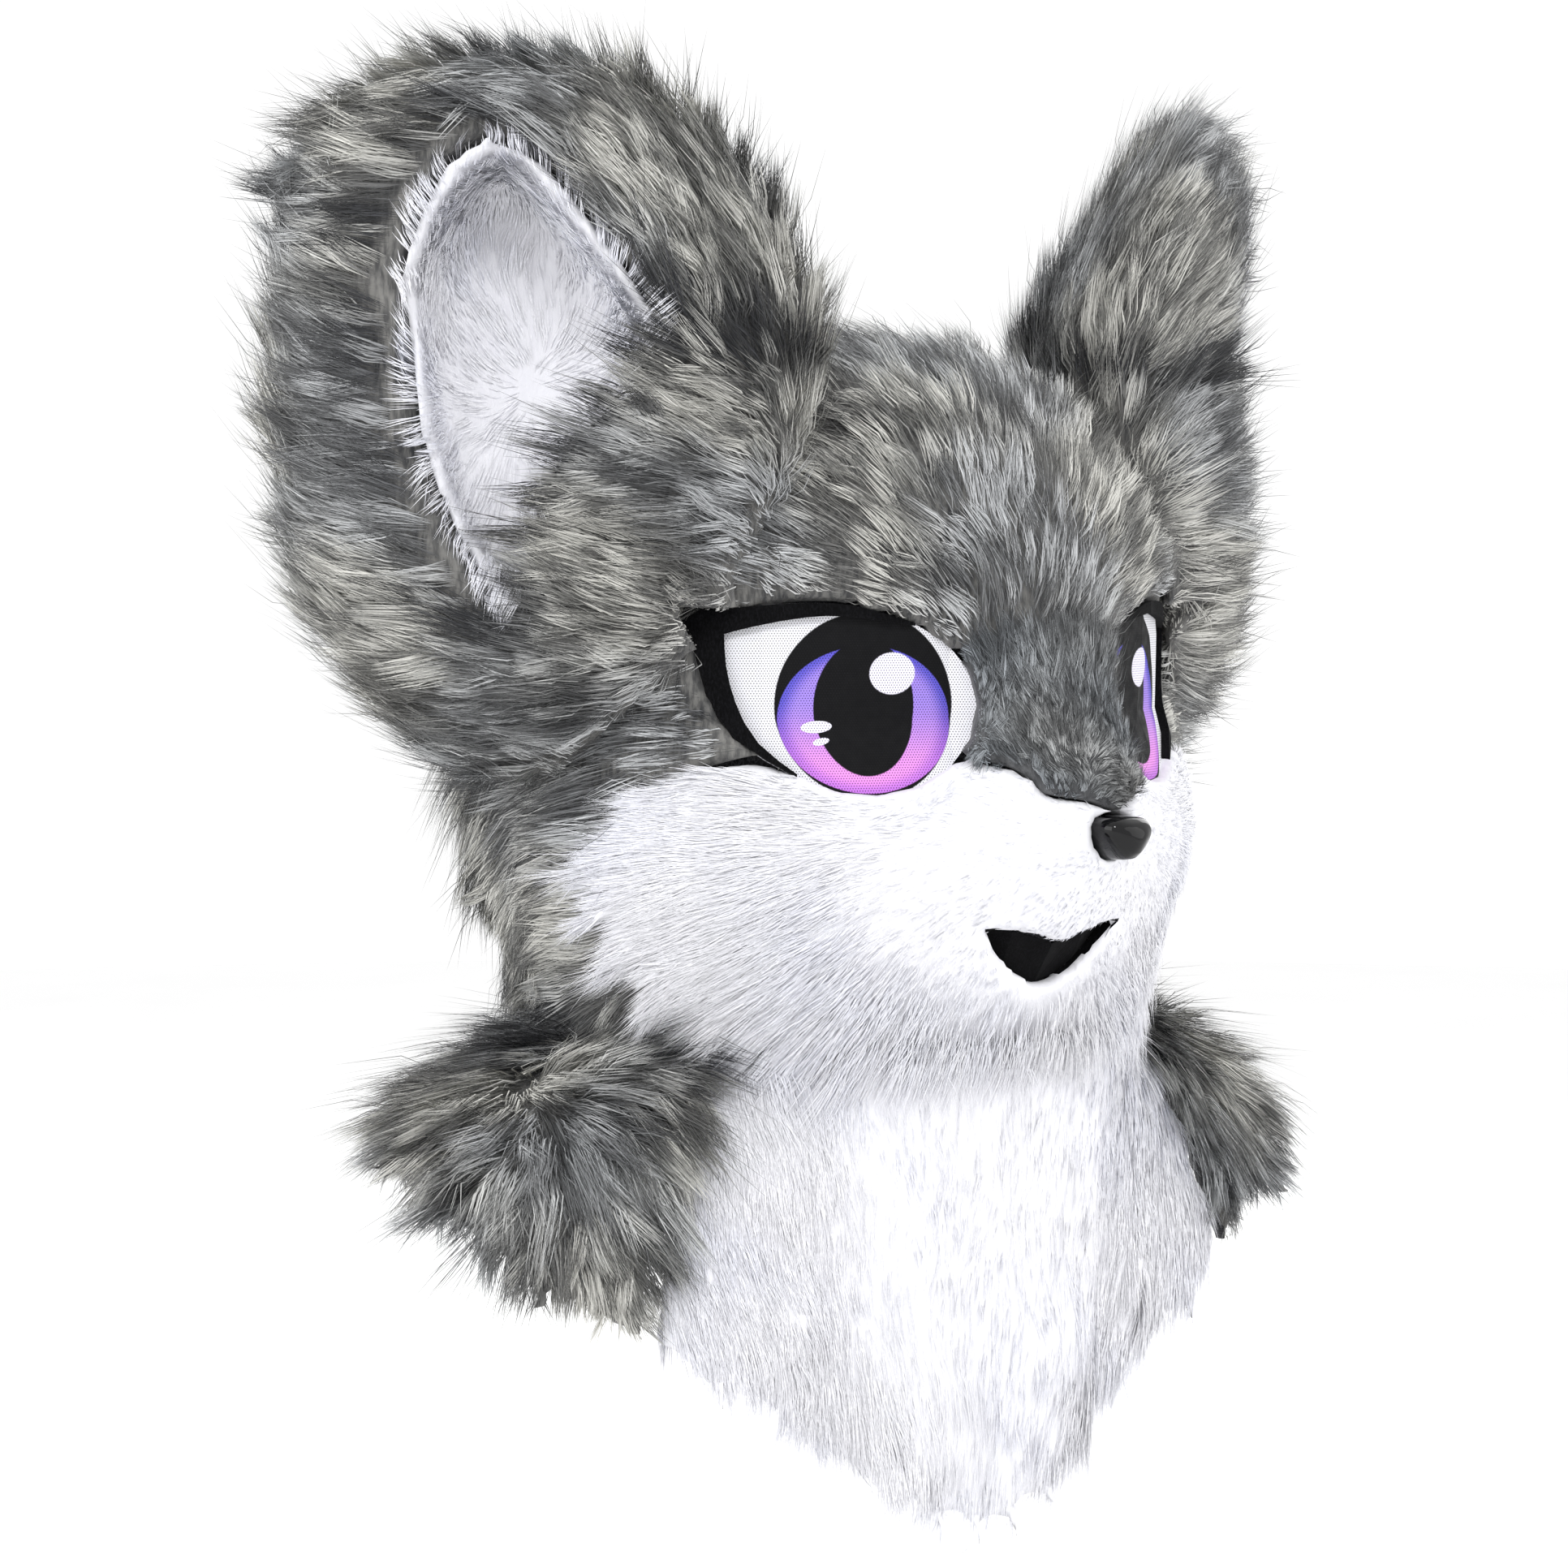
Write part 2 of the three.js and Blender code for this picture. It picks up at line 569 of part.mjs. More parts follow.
// An outline drawn in an upright plane and pushed through the face along its normal
function faceCutter(outline, turn, offset, z) {
  const geometry = new THREE.ExtrudeGeometry(new THREE.Shape(outline), {
    depth: CUT_LENGTH,
    bevelEnabled: false,
  });
  const across = new THREE.Vector3(Math.cos(turn), Math.sin(turn), 0);
  const up = new THREE.Vector3(0, 0, 1);
  const outwards = new THREE.Vector3(Math.sin(turn), -Math.cos(turn), 0);
  const frame = new THREE.Matrix4().makeBasis(across, up, outwards);
  frame.setPosition(offset, 0, z);
  return solidOfGeometry(geometry.applyMatrix4(frame));
}

// The eye's plane crosses the wearer's left side of the head: the cutter starts behind it
function eyeCutter(outline) {
  const offset = EYE.spread - EYE.middleReach * Math.tan(EYE.turn);
  return faceCutter(outline, EYE.turn, offset, HEAD_BOTTOM + EYE.level * HEAD.height);
}

// Both sides' copies of a cutter as one solid
const bothSides = (solid) => solid.add(mirrored(solid));

// What lies between two insets of the head's form, inside a cutter
function layer(cutter, from, to, grid = OUTSIDE) {
  return mainBody(headSkin(from, 0, grid).intersect(cutter).subtract(headSkin(to, 0, grid)));
}

// Points of a closed outline made of curves
function outlineOf(curves, halfWidth, height, pieces) {
  const at = ([across, up]) => [across * halfWidth, up * height];
  const shape = new THREE.Shape();
  shape.moveTo(...at(curves.at(-1).end));
  for (const { leave, arrive, end } of curves) {
    shape.bezierCurveTo(...at(leave), ...at(arrive), ...at(end));
  }
  return shape.getPoints(pieces).slice(0, -1);
}

function mouthCutter(margin) {
  const outline = outlineOf(MOUTH_CURVES, MOUTH.halfWidth, MOUTH.depth, PIECES.mouth);
  return faceCutter(grown(outline, margin), 0, 0, HEAD_BOTTOM + MOUTH.level * HEAD.height);
}

// Rounded triangle, wide above and narrow below
const noseOutline = outlineOf(NOSE_CURVES, NOSE.halfWidth, NOSE.halfHeight, PIECES.nose);
const noseHeight = HEAD_BOTTOM + NOSE.level * HEAD.height;
const noseCutter = (margin) => faceCutter(grown(noseOutline, margin), 0, 0, noseHeight);

// The nose stands on the foam and shows its domed front ahead of the fur
function nose() {
  const surface = headPoint(0, placeOf(HEAD_ROWS, "level", NOSE.level));
  const behind = surface.y + NOSE.root;
  const front = surface.y - NOSE.proud;
  const slice = (share, y) =>
    noseOutline.map((point) => new THREE.Vector3(point.x * share, y, noseHeight + point.y * share));
  const dome = Array.from({ length: NOSE.slices }, (_, k) => {
    const angle = (k * Math.PI) / (2 * NOSE.slices);
    return slice(Math.cos(angle), front + NOSE.dome * (1 - Math.sin(angle)));
  });
  const ends = [behind, front].map((y) => new THREE.Vector3(0, y, noseHeight));
  return mainBody(loft([slice(1, behind), ...dome], ...ends).subtract(headSkin(FUR, 0, BACKING)));
}

// Point of an ear form of the wearer's left; angle runs round its level section
function earPoint(form, angle, place, inset = 0) {
  const row = sectionAt(form.rows, place);
  const across = EAR.across + row.across * form.halfWidth;
  const ahead = EAR.ahead + row.ahead * EAR.halfDepth;
  const u = across + (row.width * form.halfWidth - inset) * Math.cos(angle);
  const n = ahead - (row.depth * form.halfDepth - inset) * Math.sin(angle);
  const [c, s] = [Math.cos(EAR.turn), Math.sin(EAR.turn)];
  const height = form.height - 2 * inset;
  return new THREE.Vector3(u * c + n * s, u * s - n * c, form.foot + inset + row.level * height);
}

const earForm = {
  rows: EAR_ROWS,
  halfWidth: EAR.halfWidth,
  halfDepth: EAR.halfDepth,
  height: EAR.height,
  foot: HEAD_BOTTOM + EAR.foot * HEAD.height,
};
const hollowForm = {
  rows: HOLLOW_ROWS,
  halfWidth: EAR.hollowHalfWidth,
  halfDepth: EAR.hollowHalfDepth,
  height: EAR.hollowHeight,
  foot: earForm.foot + EAR.hollowFoot * EAR.height,
};

function earSolid(form, inset = 0) {
  const last = form.rows.length - 1;
  const rings = [];
  for (let i = 1; i < EAR_RINGS; i++) {
    const ring = [];
    for (let j = 0; j < EAR_SIDES; j++) {
      ring.push(earPoint(form, (2 * Math.PI * j) / EAR_SIDES, (last * i) / EAR_RINGS, inset));
    }
    rings.push(ring);
  }
  return loft(rings, earPoint(form, 0, 0, inset), earPoint(form, 0, last, inset));
}

// Locks round the ear's outer edge and down its back: u is a share of a turn round the level
// section, from the outer edge over the back to the inner edge
const EAR_LOCK_ROWS = [
  { u: 0, lean: 0.22, levels: [0.2, 0.31, 0.42, 0.53, 0.64, 0.75, 0.86] },
  { u: 0.5, lean: 0.2, levels: [0.6, 0.71, 0.82, 0.91] },
  { u: 0.17, lean: 0.2, levels: [0.35, 0.55, 0.75] },
  { u: 0.33, lean: 0.2, levels: [0.45, 0.65, 0.85] },
];
const EAR_LOCK_SIZE = 0.9;

// The locks point up along the ear and lean away from it
function earLocks() {
  const last = EAR_ROWS.length - 1;
  const at = (u, place) => earPoint(earForm, 2 * Math.PI * u, place);
  return EAR_LOCK_ROWS.flatMap(({ u, lean, levels }) =>
    levels.map((level) => {
      const place = placeOf(EAR_ROWS, "level", level);
      const step = SLOPE_STEP * last;
      const up = at(u, place + step).sub(at(u, place - step)).normalize();
      const along = at(u + SLOPE_STEP, place).sub(at(u - SLOPE_STEP, place)).normalize();
      const normal = along.cross(up).normalize();
      return lock(at(u, place), normal, up, EAR_LOCK_SIZE, lean);
    }),
  );
}

// Point of the cape: u is a turn from the front, v runs from the hem to the neck
function capePoint(u, v) {
  const azimuth = u * 2 * Math.PI;
  const folded = Math.acos(Math.cos(azimuth));
  const place = placeOf(CAPE_ROWS, "azimuth", THREE.MathUtils.radToDeg(folded));
  const neck = headPoint(azimuth, 0);
  const neckReach = Math.hypot(neck.x, neck.y);
  const hemReach = between(CAPE_ROWS, "reach", place) * CAPE.reach;
  const hemDrop = between(CAPE_ROWS, "drop", place) * CAPE.drop;
  const sweep = ((1 - v) * Math.PI) / 2;
  const outwards = THREE.MathUtils.lerp(1 - v, Math.sin(sweep), CAPE.bulge);
  const down = THREE.MathUtils.lerp(1 - v, 1 - Math.cos(sweep), CAPE.bulge);
  const reach = neckReach + (hemReach - neckReach) * outwards;
  return around(reach, azimuth, HEAD_BOTTOM - GAP - hemDrop * down);
}

// A panel of the cape between two turns, with locks along the hem and in rows above it
function capePanel(from, to, columns, lockRows) {
  const surface = (u, v) => capePoint(from + u * (to - from), v);
  const places = lockRows.flatMap(({ v, count, size }) =>
    Array.from({ length: count }, (_, k) => ({ u: (k + 0.5) / count, v, size })),
  );
  const sheet = thickSheet(surface, columns, CAPE.rings, CAPE.wall);
  return joined([sheet, ...locksOn(surface, places)]).subtract(headSkin(-GAP, GAP));
}

const seamTurn = CAPE.seam / 360;

const whiteBand = (margin) => bandCutter(WHITE_ROWS, margin);
const bridgeBand = (margin) => bandCutter(BRIDGE_ROWS, margin);
const bibBand = (margin) => bandCutter(BIB_ROWS, margin);
const belowHead = headSkin(-LOCK.length, LOCK.length).subtract(headSkin(-LOCK.length));
const eyeHole = bothSides(eyeCutter(grown(eyeOutline(), 2 * GAP)));
const furInside = headSkin(FUR, FUR, BACKING);

function crownFur() {
  const ears = bothSides(earSolid(earForm, -2 * GAP));
  const locks = joined(locksOn(headSurface, crownLockPlaces()));
  return mainBody(
    headSkin(0)
      .add(locks.subtract(ears).subtract(belowHead))
      .subtract(furInside)
      .subtract(whiteBand(GAP / 2))
      .subtract(bridgeBand(GAP / 2))
      .subtract(eyeHole),
  );
}

function faceFur() {
  const greySide = headSkin(-GAP).subtract(whiteBand(-GAP / 2));
  const locks = joined(locksOn(headSurface, cheekLockPlaces()));
  return mainBody(
    headSkin(0)
      .intersect(whiteBand(-GAP / 2))
      .add(locks.subtract(greySide).subtract(belowHead))
      .subtract(furInside)
      .subtract(eyeHole)
      .subtract(noseCutter(GAP))
      .subtract(mouthCutter(0)),
  );
}

function bridgeFur() {
  return mainBody(
    headSkin(0)
      .intersect(bridgeBand(-GAP / 2))
      .subtract(whiteBand(GAP / 2))
      .subtract(furInside)
      .subtract(eyeHole)
      .subtract(noseCutter(GAP)),
  );
}

// Foam shell with raised rims that carry the eyes, and a hole through each rim to see through
function headBase() {
  const rims = headSkin(EYE.rimInset).intersect(bothSides(eyeCutter(eyeOutline())));
  const oval = new THREE.EllipseCurve(0, 0, EYE.sightHalfWidth, EYE.sightHalfHeight);
  const sight = oval.getPoints(PIECES.sight).slice(0, -1);
  return mainBody(
    headSkin(BASE_INSET, 0, BACKING)
      .add(rims)
      .subtract(headSkin(CAVITY_INSET, FOAM, BACKING))
      .subtract(bothSides(eyeCutter(sight))),
  );
}

const meshInset = EYE.rimInset - GAP;
const lidInset = meshInset - EYE.meshThickness - GAP;

const eyeMesh = layer(eyeCutter(eyeOutline()), meshInset - EYE.meshThickness, meshInset);
const eyelid = layer(eyeCutter(lidOutline()), lidInset - EYE.lidThickness, lidInset);
const mouthLining = layer(mouthCutter(-GAP), FUR - MOUTH.liningThickness, FUR, BACKING);

const headClear = headSkin(-GAP);
const earOutside = joined([earSolid(earForm), ...earLocks()]);
const earShell = mainBody(earOutside.subtract(earSolid(hollowForm)).subtract(headClear));
const earLining = mainBody(
  earSolid(hollowForm, GAP)
    .subtract(earSolid(hollowForm, EAR.lining))
    .intersect(earSolid(earForm, GAP))
    .subtract(headClear),
);

const ruff = mainBody(
  capePanel(seamTurn, 1 - seamTurn, CAPE.ruffColumns, RUFF_LOCK_ROWS).subtract(bibBand(GAP / 2)),
);
const bib = mainBody(
  capePanel(-seamTurn, seamTurn, CAPE.bibColumns, BIB_LOCK_ROWS).intersect(bibBand(-GAP / 2)),
);

const head = new THREE.Group();

function addPiece(name, solid, look) {
  const { numProp, numVert, vertProperties, triVerts } = solid.getMesh();
  const positions = new Float32Array(3 * numVert);
  for (let i = 0; i < numVert; i++) {
    positions.set(vertProperties.subarray(i * numProp, i * numProp + 3), 3 * i);
  }
  const geometry = new THREE.BufferGeometry();
  geometry.setAttribute("position", new THREE.BufferAttribute(positions, 3));
  geometry.setIndex(new THREE.BufferAttribute(triVerts, 1));
  geometry.computeVertexNormals();
  const mesh = new THREE.Mesh(geometry, new THREE.MeshStandardMaterial({ metalness: 0, ...look }));
  mesh.name = name;
  head.add(mesh);
}

// A piece on the wearer's left and its copy on the right
function addPair(name, solid, look) {
  addPiece(name + "_left", solid, look);
  addPiece(name + "_right", mirrored(solid), look);
}

addPiece("head_base", headBase(), FOAM_LOOK);
addPiece("crown_fur", crownFur(), GREY_FUR);
addPiece("face_fur", faceFur(), WHITE_FUR);
addPiece("bridge_fur", bridgeFur(), BRIDGE_FUR);
addPair("eye_mesh", eyeMesh, MESH_LOOK);
addPair("eyelid", eyelid, FELT_LOOK);
addPiece("nose", nose(), NOSE_LOOK);
addPiece("mouth_lining", mouthLining, FELT_LOOK);
addPair("ear_shell", earShell, GREY_FUR);
addPair("ear_lining", earLining, WHITE_FUR);
addPiece("shoulder_ruff", ruff, GREY_FUR);
addPiece("chest_bib", bib, WHITE_FUR);

export default head;
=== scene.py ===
"""A furry animal costume head, dressed round its solids. Each fur panel becomes a smooth backing
under a pile of modelled strands, and the eyes, lids, nose, mouth and foam get their own materials.
Sizes are in metres, apart from the eye's print, which is in mm; the face looks along -Y and up is
+Z. A side is 1 at +X, the wearer's left, and -1 at the other."""

import math
from functools import partial

import bpy
import numpy as np
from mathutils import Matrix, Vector
from mathutils.bvhtree import BVHTree
from mathutils.kdtree import KDTree


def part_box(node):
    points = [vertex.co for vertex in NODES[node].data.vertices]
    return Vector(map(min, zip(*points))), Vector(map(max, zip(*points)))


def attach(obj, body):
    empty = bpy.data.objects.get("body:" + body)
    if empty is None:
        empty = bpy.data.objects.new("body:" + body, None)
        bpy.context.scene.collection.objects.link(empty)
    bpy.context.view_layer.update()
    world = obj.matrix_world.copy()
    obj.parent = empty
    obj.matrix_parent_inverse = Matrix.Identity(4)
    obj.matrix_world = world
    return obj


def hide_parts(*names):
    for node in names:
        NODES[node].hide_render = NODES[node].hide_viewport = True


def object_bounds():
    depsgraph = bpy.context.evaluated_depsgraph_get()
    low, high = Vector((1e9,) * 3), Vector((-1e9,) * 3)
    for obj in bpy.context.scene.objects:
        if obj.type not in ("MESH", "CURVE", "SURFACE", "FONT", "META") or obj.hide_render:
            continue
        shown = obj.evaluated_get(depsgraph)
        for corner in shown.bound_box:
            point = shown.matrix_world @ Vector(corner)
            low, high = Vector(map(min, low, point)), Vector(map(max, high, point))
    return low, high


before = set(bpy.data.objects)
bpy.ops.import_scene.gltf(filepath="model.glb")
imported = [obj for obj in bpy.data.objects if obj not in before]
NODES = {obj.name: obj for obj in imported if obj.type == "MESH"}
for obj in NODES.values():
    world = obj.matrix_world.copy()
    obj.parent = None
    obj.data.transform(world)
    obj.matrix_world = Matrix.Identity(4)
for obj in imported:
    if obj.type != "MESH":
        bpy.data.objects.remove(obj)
cad_low, cad_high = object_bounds()
MM = 0.001

# Main places on the head, taken from the solids' boxes
NOSE_LOW, NOSE_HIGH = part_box("nose")
MOUTH_LOW, MOUTH_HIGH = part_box("mouth_lining")
HEAD_LOW, HEAD_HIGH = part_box("head_base")
BIB_HALF_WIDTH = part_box("chest_bib")[1].x
NOSE = np.array((NOSE_LOW + NOSE_HIGH) / 2)
MOUTH = np.array((MOUTH_LOW + MOUTH_HIGH) / 2)

# Eyes: the middle of the printed iris on the upright plane that the eye lies along, for the +X eye
EYE = {"out": 33.9 * MM, "level": -133.8 * MM, "turn": math.radians(26)}
EYE_COS, EYE_SIN = math.cos(EYE["turn"]), math.sin(EYE["turn"])
EYE_HALF_WIDTH = 52 * MM
EYE_HALF_HEIGHT = 39.5 * MM
EAR_TURN = math.radians(40)
SKYWARDS = np.array([0.0, 0.0, 1.0])
WORDS = {1: "left", -1: "right"}


def linear(code):
    """A colour written as hex digits, as linear red, green and blue."""
    parts = [int(code[k : k + 2], 16) / 255 for k in (0, 2, 4)]
    return np.array([p / 12.92 if p <= 0.04045 else ((p + 0.055) / 1.055) ** 2.4 for p in parts])


def coat_of(pale, cool, dark, tip, **shares):
    colours = {"pale": pale, "cool": cool, "dark": dark, "tip": tip}
    return {name: linear(code) for name, code in colours.items()} | shares


# Colours of each kind of pile. guard is the share of locks made up mostly of longer, thinner hairs
# with the tip colour, root is how light a strand's root is beside its middle, a painted shade for
# the depth of the pile, and patch is how strongly light and dark patches show.
COATS = {
    "grey": coat_of("DAD9D3", "CACCCE", "404145", "08090B", guard=0.44, root=0.7, patch=0.34),
    "bridge": coat_of("B4B4B2", "9EA4AA", "3C3D40", "0A0B0D", guard=0.5, root=0.7, patch=0.25),
    "white": coat_of("EAEAEE", "E4E5ED", "DDDCE2", "EEEEF2", guard=0.3, root=1.0, patch=0.05),
}


def unit(vectors):
    """Each row of an array, or one vector, at length 1."""
    return vectors / np.maximum(np.linalg.norm(vectors, axis=-1, keepdims=True), 1e-9)


def smooth_step(low, high, values):
    t = np.clip((values - low) / (high - low), 0, 1)
    return t * t * (3 - 2 * t)


def mix(a, b, share):
    """Rows of a and b mixed, with one share for each row."""
    share = np.asarray(share)[..., None]
    return a * (1 - share) + b * share


def ripple(points, size, seed, waves=7):
    """Smooth noise from -1 to 1 that changes over about that size. Each use has its own seed."""
    rng = np.random.default_rng(seed)
    total = np.zeros(len(points))
    for _ in range(waves):
        along = unit(rng.normal(size=3)) * rng.uniform(0.7, 1.5) * 2 * math.pi / size
        total += np.sin(points @ along + rng.uniform(0, 2 * math.pi))
    return np.clip(total / math.sqrt(waves), -1.5, 1.5) / 1.5


# Node trees

def new_material(name):
    """A material with its tree, its shader and its coordinates in metres."""
    material = bpy.data.materials.new(name)
    material.use_nodes = True
    tree = material.node_tree
    shader = tree.nodes["Principled BSDF"]
    place = tree.nodes.new("ShaderNodeTexCoord").outputs["Object"]
    return material, tree, shader, place


def wire(tree, value, socket):
    """Sets a socket to a number, a colour or another socket's value."""
    if isinstance(value, bpy.types.NodeSocket):
        tree.links.new(value, socket)
    elif hasattr(value, "__len__") and len(value) == 3 and socket.type == "RGBA":
        socket.default_value = (*value, 1)
    else:
        socket.default_value = value


def math_node(tree, operation, *values):
    node = tree.nodes.new("ShaderNodeMath")
    node.operation = operation
    for value, socket in zip(values, node.inputs):
        wire(tree, value, socket)
    return node.outputs[0]


def noise(tree, place, scale, detail=3.0, stretch=(1, 1, 1), rough=0.55):
    mapping = tree.nodes.new("ShaderNodeMapping")
    mapping.inputs["Scale"].default_value = stretch
    wire(tree, place, mapping.inputs["Vector"])
    node = tree.nodes.new("ShaderNodeTexNoise")
    node.inputs["Scale"].default_value = scale
    node.inputs["Detail"].default_value = detail
    node.inputs["Roughness"].default_value = rough
    wire(tree, mapping.outputs[0], node.inputs["Vector"])
    return node.outputs["Fac"]


def spread(tree, value, low, high, to_low, to_high):
    """A value's range from low to high mapped to another range, smoothly, and clipped."""
    node = tree.nodes.new("ShaderNodeMapRange")
    node.interpolation_type = "SMOOTHSTEP"
    limits = {"From Min": low, "From Max": high, "To Min": to_low, "To Max": to_high}
    for name, number in limits.items():
        node.inputs[name].default_value = number
    wire(tree, value, node.inputs["Value"])
    return node.outputs["Result"]


def blend_colour(tree, share, a, b):
    node = tree.nodes.new("ShaderNodeMix")
    node.data_type = "RGBA"
    wire(tree, share, node.inputs["Factor"])
    wire(tree, a, node.inputs["A"])
    wire(tree, b, node.inputs["B"])
    return node.outputs["Result"]


def bump(tree, shader, height, strength, distance):
    node = tree.nodes.new("ShaderNodeBump")
    node.inputs["Strength"].default_value = strength
    node.inputs["Distance"].default_value = distance
    wire(tree, height, node.inputs["Height"])
    wire(tree, node.outputs[0], shader.inputs["Normal"])


def sheen(shader, weight):
    shader.inputs["Sheen Weight"].default_value = weight
    shader.inputs["Sheen Roughness"].default_value = 0.5


def between(tree, share, a, b):
    """Two colours, given as hex digits, mixed by a share."""
    return blend_colour(tree, share, linear(a), linear(b))


def mottled_roughness(tree, shader, place, scale, low, high):
    """Roughness that wanders between two values over patches of one size."""
    patches = noise(tree, place, scale)
    wire(tree, spread(tree, patches, 0.3, 0.7, low, high), shader.inputs["Roughness"])


# Materials

def pile_material(name, roughness):
    """Strands: the colour made for each strand, with a fine variation and a soft shine."""
    material, tree, shader, place = new_material(name)
    tint = tree.nodes.new("ShaderNodeAttribute")
    tint.attribute_name = "pile_colour"
    grain = spread(tree, noise(tree, place, 900, 2), 0.3, 0.7, 0.9, 1.06)
    shade = tree.nodes.new("ShaderNodeVectorMath")
    shade.operation = "SCALE"
    wire(tree, tint.outputs["Color"], shade.inputs[0])
    wire(tree, grain, shade.inputs["Scale"])
    wire(tree, shade.outputs[0], shader.inputs["Base Color"])
    mottled_roughness(tree, shader, place, 60, roughness - 0.06, roughness + 0.08)
    shader.inputs["Specular IOR Level"].default_value = 0.3
    return material


def backing_material(name, light, dark, relief):
    """The dense short fur under the strands, in streaks that run down the pile."""
    material, tree, shader, place = new_material(name)
    streaks = noise(tree, place, 420, 4, stretch=(1, 1, 0.25))
    patches = noise(tree, place, 38, 3)
    streak_share = spread(tree, streaks, 0.35, 0.65, 0, 0.6)
    patch_share = spread(tree, patches, 0.35, 0.65, 0, 0.4)
    share = math_node(tree, "ADD", streak_share, patch_share)
    wire(tree, between(tree, share, light, dark), shader.inputs["Base Color"])
    wire(tree, spread(tree, patches, 0.3, 0.7, 0.85, 0.97), shader.inputs["Roughness"])
    bump(tree, shader, streaks, relief, 1.5 * MM)
    sheen(shader, 0.25 * relief)
    return material


def lining_cloth_material():
    """The plain woven cloth on the underside of the cape and the bib."""
    material, tree, shader, place = new_material("backing_cloth")
    waves = []
    for turn in (0, 90):
        mapping = tree.nodes.new("ShaderNodeMapping")
        mapping.inputs["Rotation"].default_value = (0, math.radians(turn), 0)
        wire(tree, place, mapping.inputs["Vector"])
        wave = tree.nodes.new("ShaderNodeTexWave")
        wave.bands_direction = "X"
        wave.inputs["Scale"].default_value = 260
        wave.inputs["Distortion"].default_value = 0.4
        wire(tree, mapping.outputs[0], wave.inputs["Vector"])
        waves.append(wave.outputs["Fac"])
    weave = math_node(tree, "MULTIPLY", *waves)
    wire(tree, between(tree, weave, "17171A", "35353A"), shader.inputs["Base Color"])
    mottled_roughness(tree, shader, place, 50, 0.8, 0.95)
    bump(tree, shader, weave, 0.6, 0.4 * MM)
    sheen(shader, 0.2)
    return material


def foam_material():
    """Open-cell foam: small dark cells with lighter walls."""
    material, tree, shader, place = new_material("open_cell_foam")
    cells = tree.nodes.new("ShaderNodeTexVoronoi")
    cells.feature = "DISTANCE_TO_EDGE"
    cells.inputs["Scale"].default_value = 550
    wire(tree, place, cells.inputs["Vector"])
    walls = spread(tree, cells.outputs["Distance"], 0.02, 0.16, 1, 0)
    wire(tree, between(tree, walls, "242427", "4A4A4E"), shader.inputs["Base Color"])
    mottled_roughness(tree, shader, place, 40, 0.85, 0.97)
    bump(tree, shader, walls, 0.7, 0.5 * MM)
    return material


def felt_material(name, dark, light):
    """Pressed felt: matted fibres in a fine tangle."""
    material, tree, shader, place = new_material(name)
    fibres = noise(tree, place, 1300, 5, stretch=(1, 1, 0.45), rough=0.7)
    share = spread(tree, fibres, 0.4, 0.75, 0, 1)
    wire(tree, between(tree, share, dark, light), shader.inputs["Base Color"])
    mottled_roughness(tree, shader, place, 80, 0.84, 0.96)
    bump(tree, shader, fibres, 0.5, 0.5 * MM)
    shader.inputs["Specular IOR Level"].default_value = 0.08
    sheen(shader, 0.02)
    return material


def nose_material():
    """Glossy moulded plastic with a faint orange-peel surface."""
    material, tree, shader, place = new_material("glossy_nose")
    wear = noise(tree, place, 90, 4)
    wire(tree, between(tree, wear, "030304", "07070A"), shader.inputs["Base Color"])
    wire(tree, spread(tree, wear, 0.35, 0.75, 0.05, 0.12), shader.inputs["Roughness"])
    bump(tree, shader, noise(tree, place, 300, 2), 0.08, 0.3 * MM)
    shader.inputs["Specular IOR Level"].default_value = 0.13
    shader.inputs["Coat Weight"].default_value = 0.4
    shader.inputs["Coat Roughness"].default_value = 0.02
    return material


def floor_material():
    material, tree, shader, place = new_material("pale_floor")
    tone = blend_colour(tree, noise(tree, place, 4, 3), (0.9, 0.9, 0.9), (0.94, 0.94, 0.94))
    wire(tree, tone, shader.inputs["Base Color"])
    shader.inputs["Roughness"].default_value = 0.9
    return material


# The eye's print, drawn in mm on its plane from the iris's middle. v points up. u points to +X for
# the light spots, which aren't mirrored, and towards the nose for the rest.

# Light spots on both eyes: middle, half sizes and tilt in degrees
EYE_SPOTS = [
    {"u": 12.6, "v": 13.8, "half_u": 10.6, "half_v": 9.2, "tilt": 0},
    {"u": -22.3, "v": -9.2, "half_u": 7.0, "half_v": 2.6, "tilt": 4},
    {"u": -20.7, "v": -15.5, "half_u": 3.8, "half_v": 1.5, "tilt": 12},
]
RIM = {"u": 0, "v": 0, "half_u": 41, "half_v": 41}
GLOW = {"u": 0, "v": -6.1, "half_u": 39.7, "half_v": 32.2}
PUPIL = {"u": -0.2, "v": -1, "half_u": 23.2, "half_v": 29.7}
# The iris turns from blue to pink between these heights
FADE = {"low": -34, "high": 4}
HOLE_PITCH = 1.25
HOLE_RADIUS = 0.3
PER_METRE = 1000


def along_axis(tree, place, axis, origin, scale):
    """The distance along an axis from an origin, times a scale."""
    dot = tree.nodes.new("ShaderNodeVectorMath")
    dot.operation = "DOT_PRODUCT"
    wire(tree, place, dot.inputs[0])
    dot.inputs[1].default_value = axis
    start = float(np.dot(axis, origin)) * scale
    return math_node(tree, "MULTIPLY_ADD", dot.outputs["Value"], scale, -start)


def length_of(tree, a, b):
    """The long side of a right-angled triangle, from its two short sides."""
    squares = [math_node(tree, "MULTIPLY", value, value) for value in (a, b)]
    return math_node(tree, "SQRT", math_node(tree, "ADD", *squares))


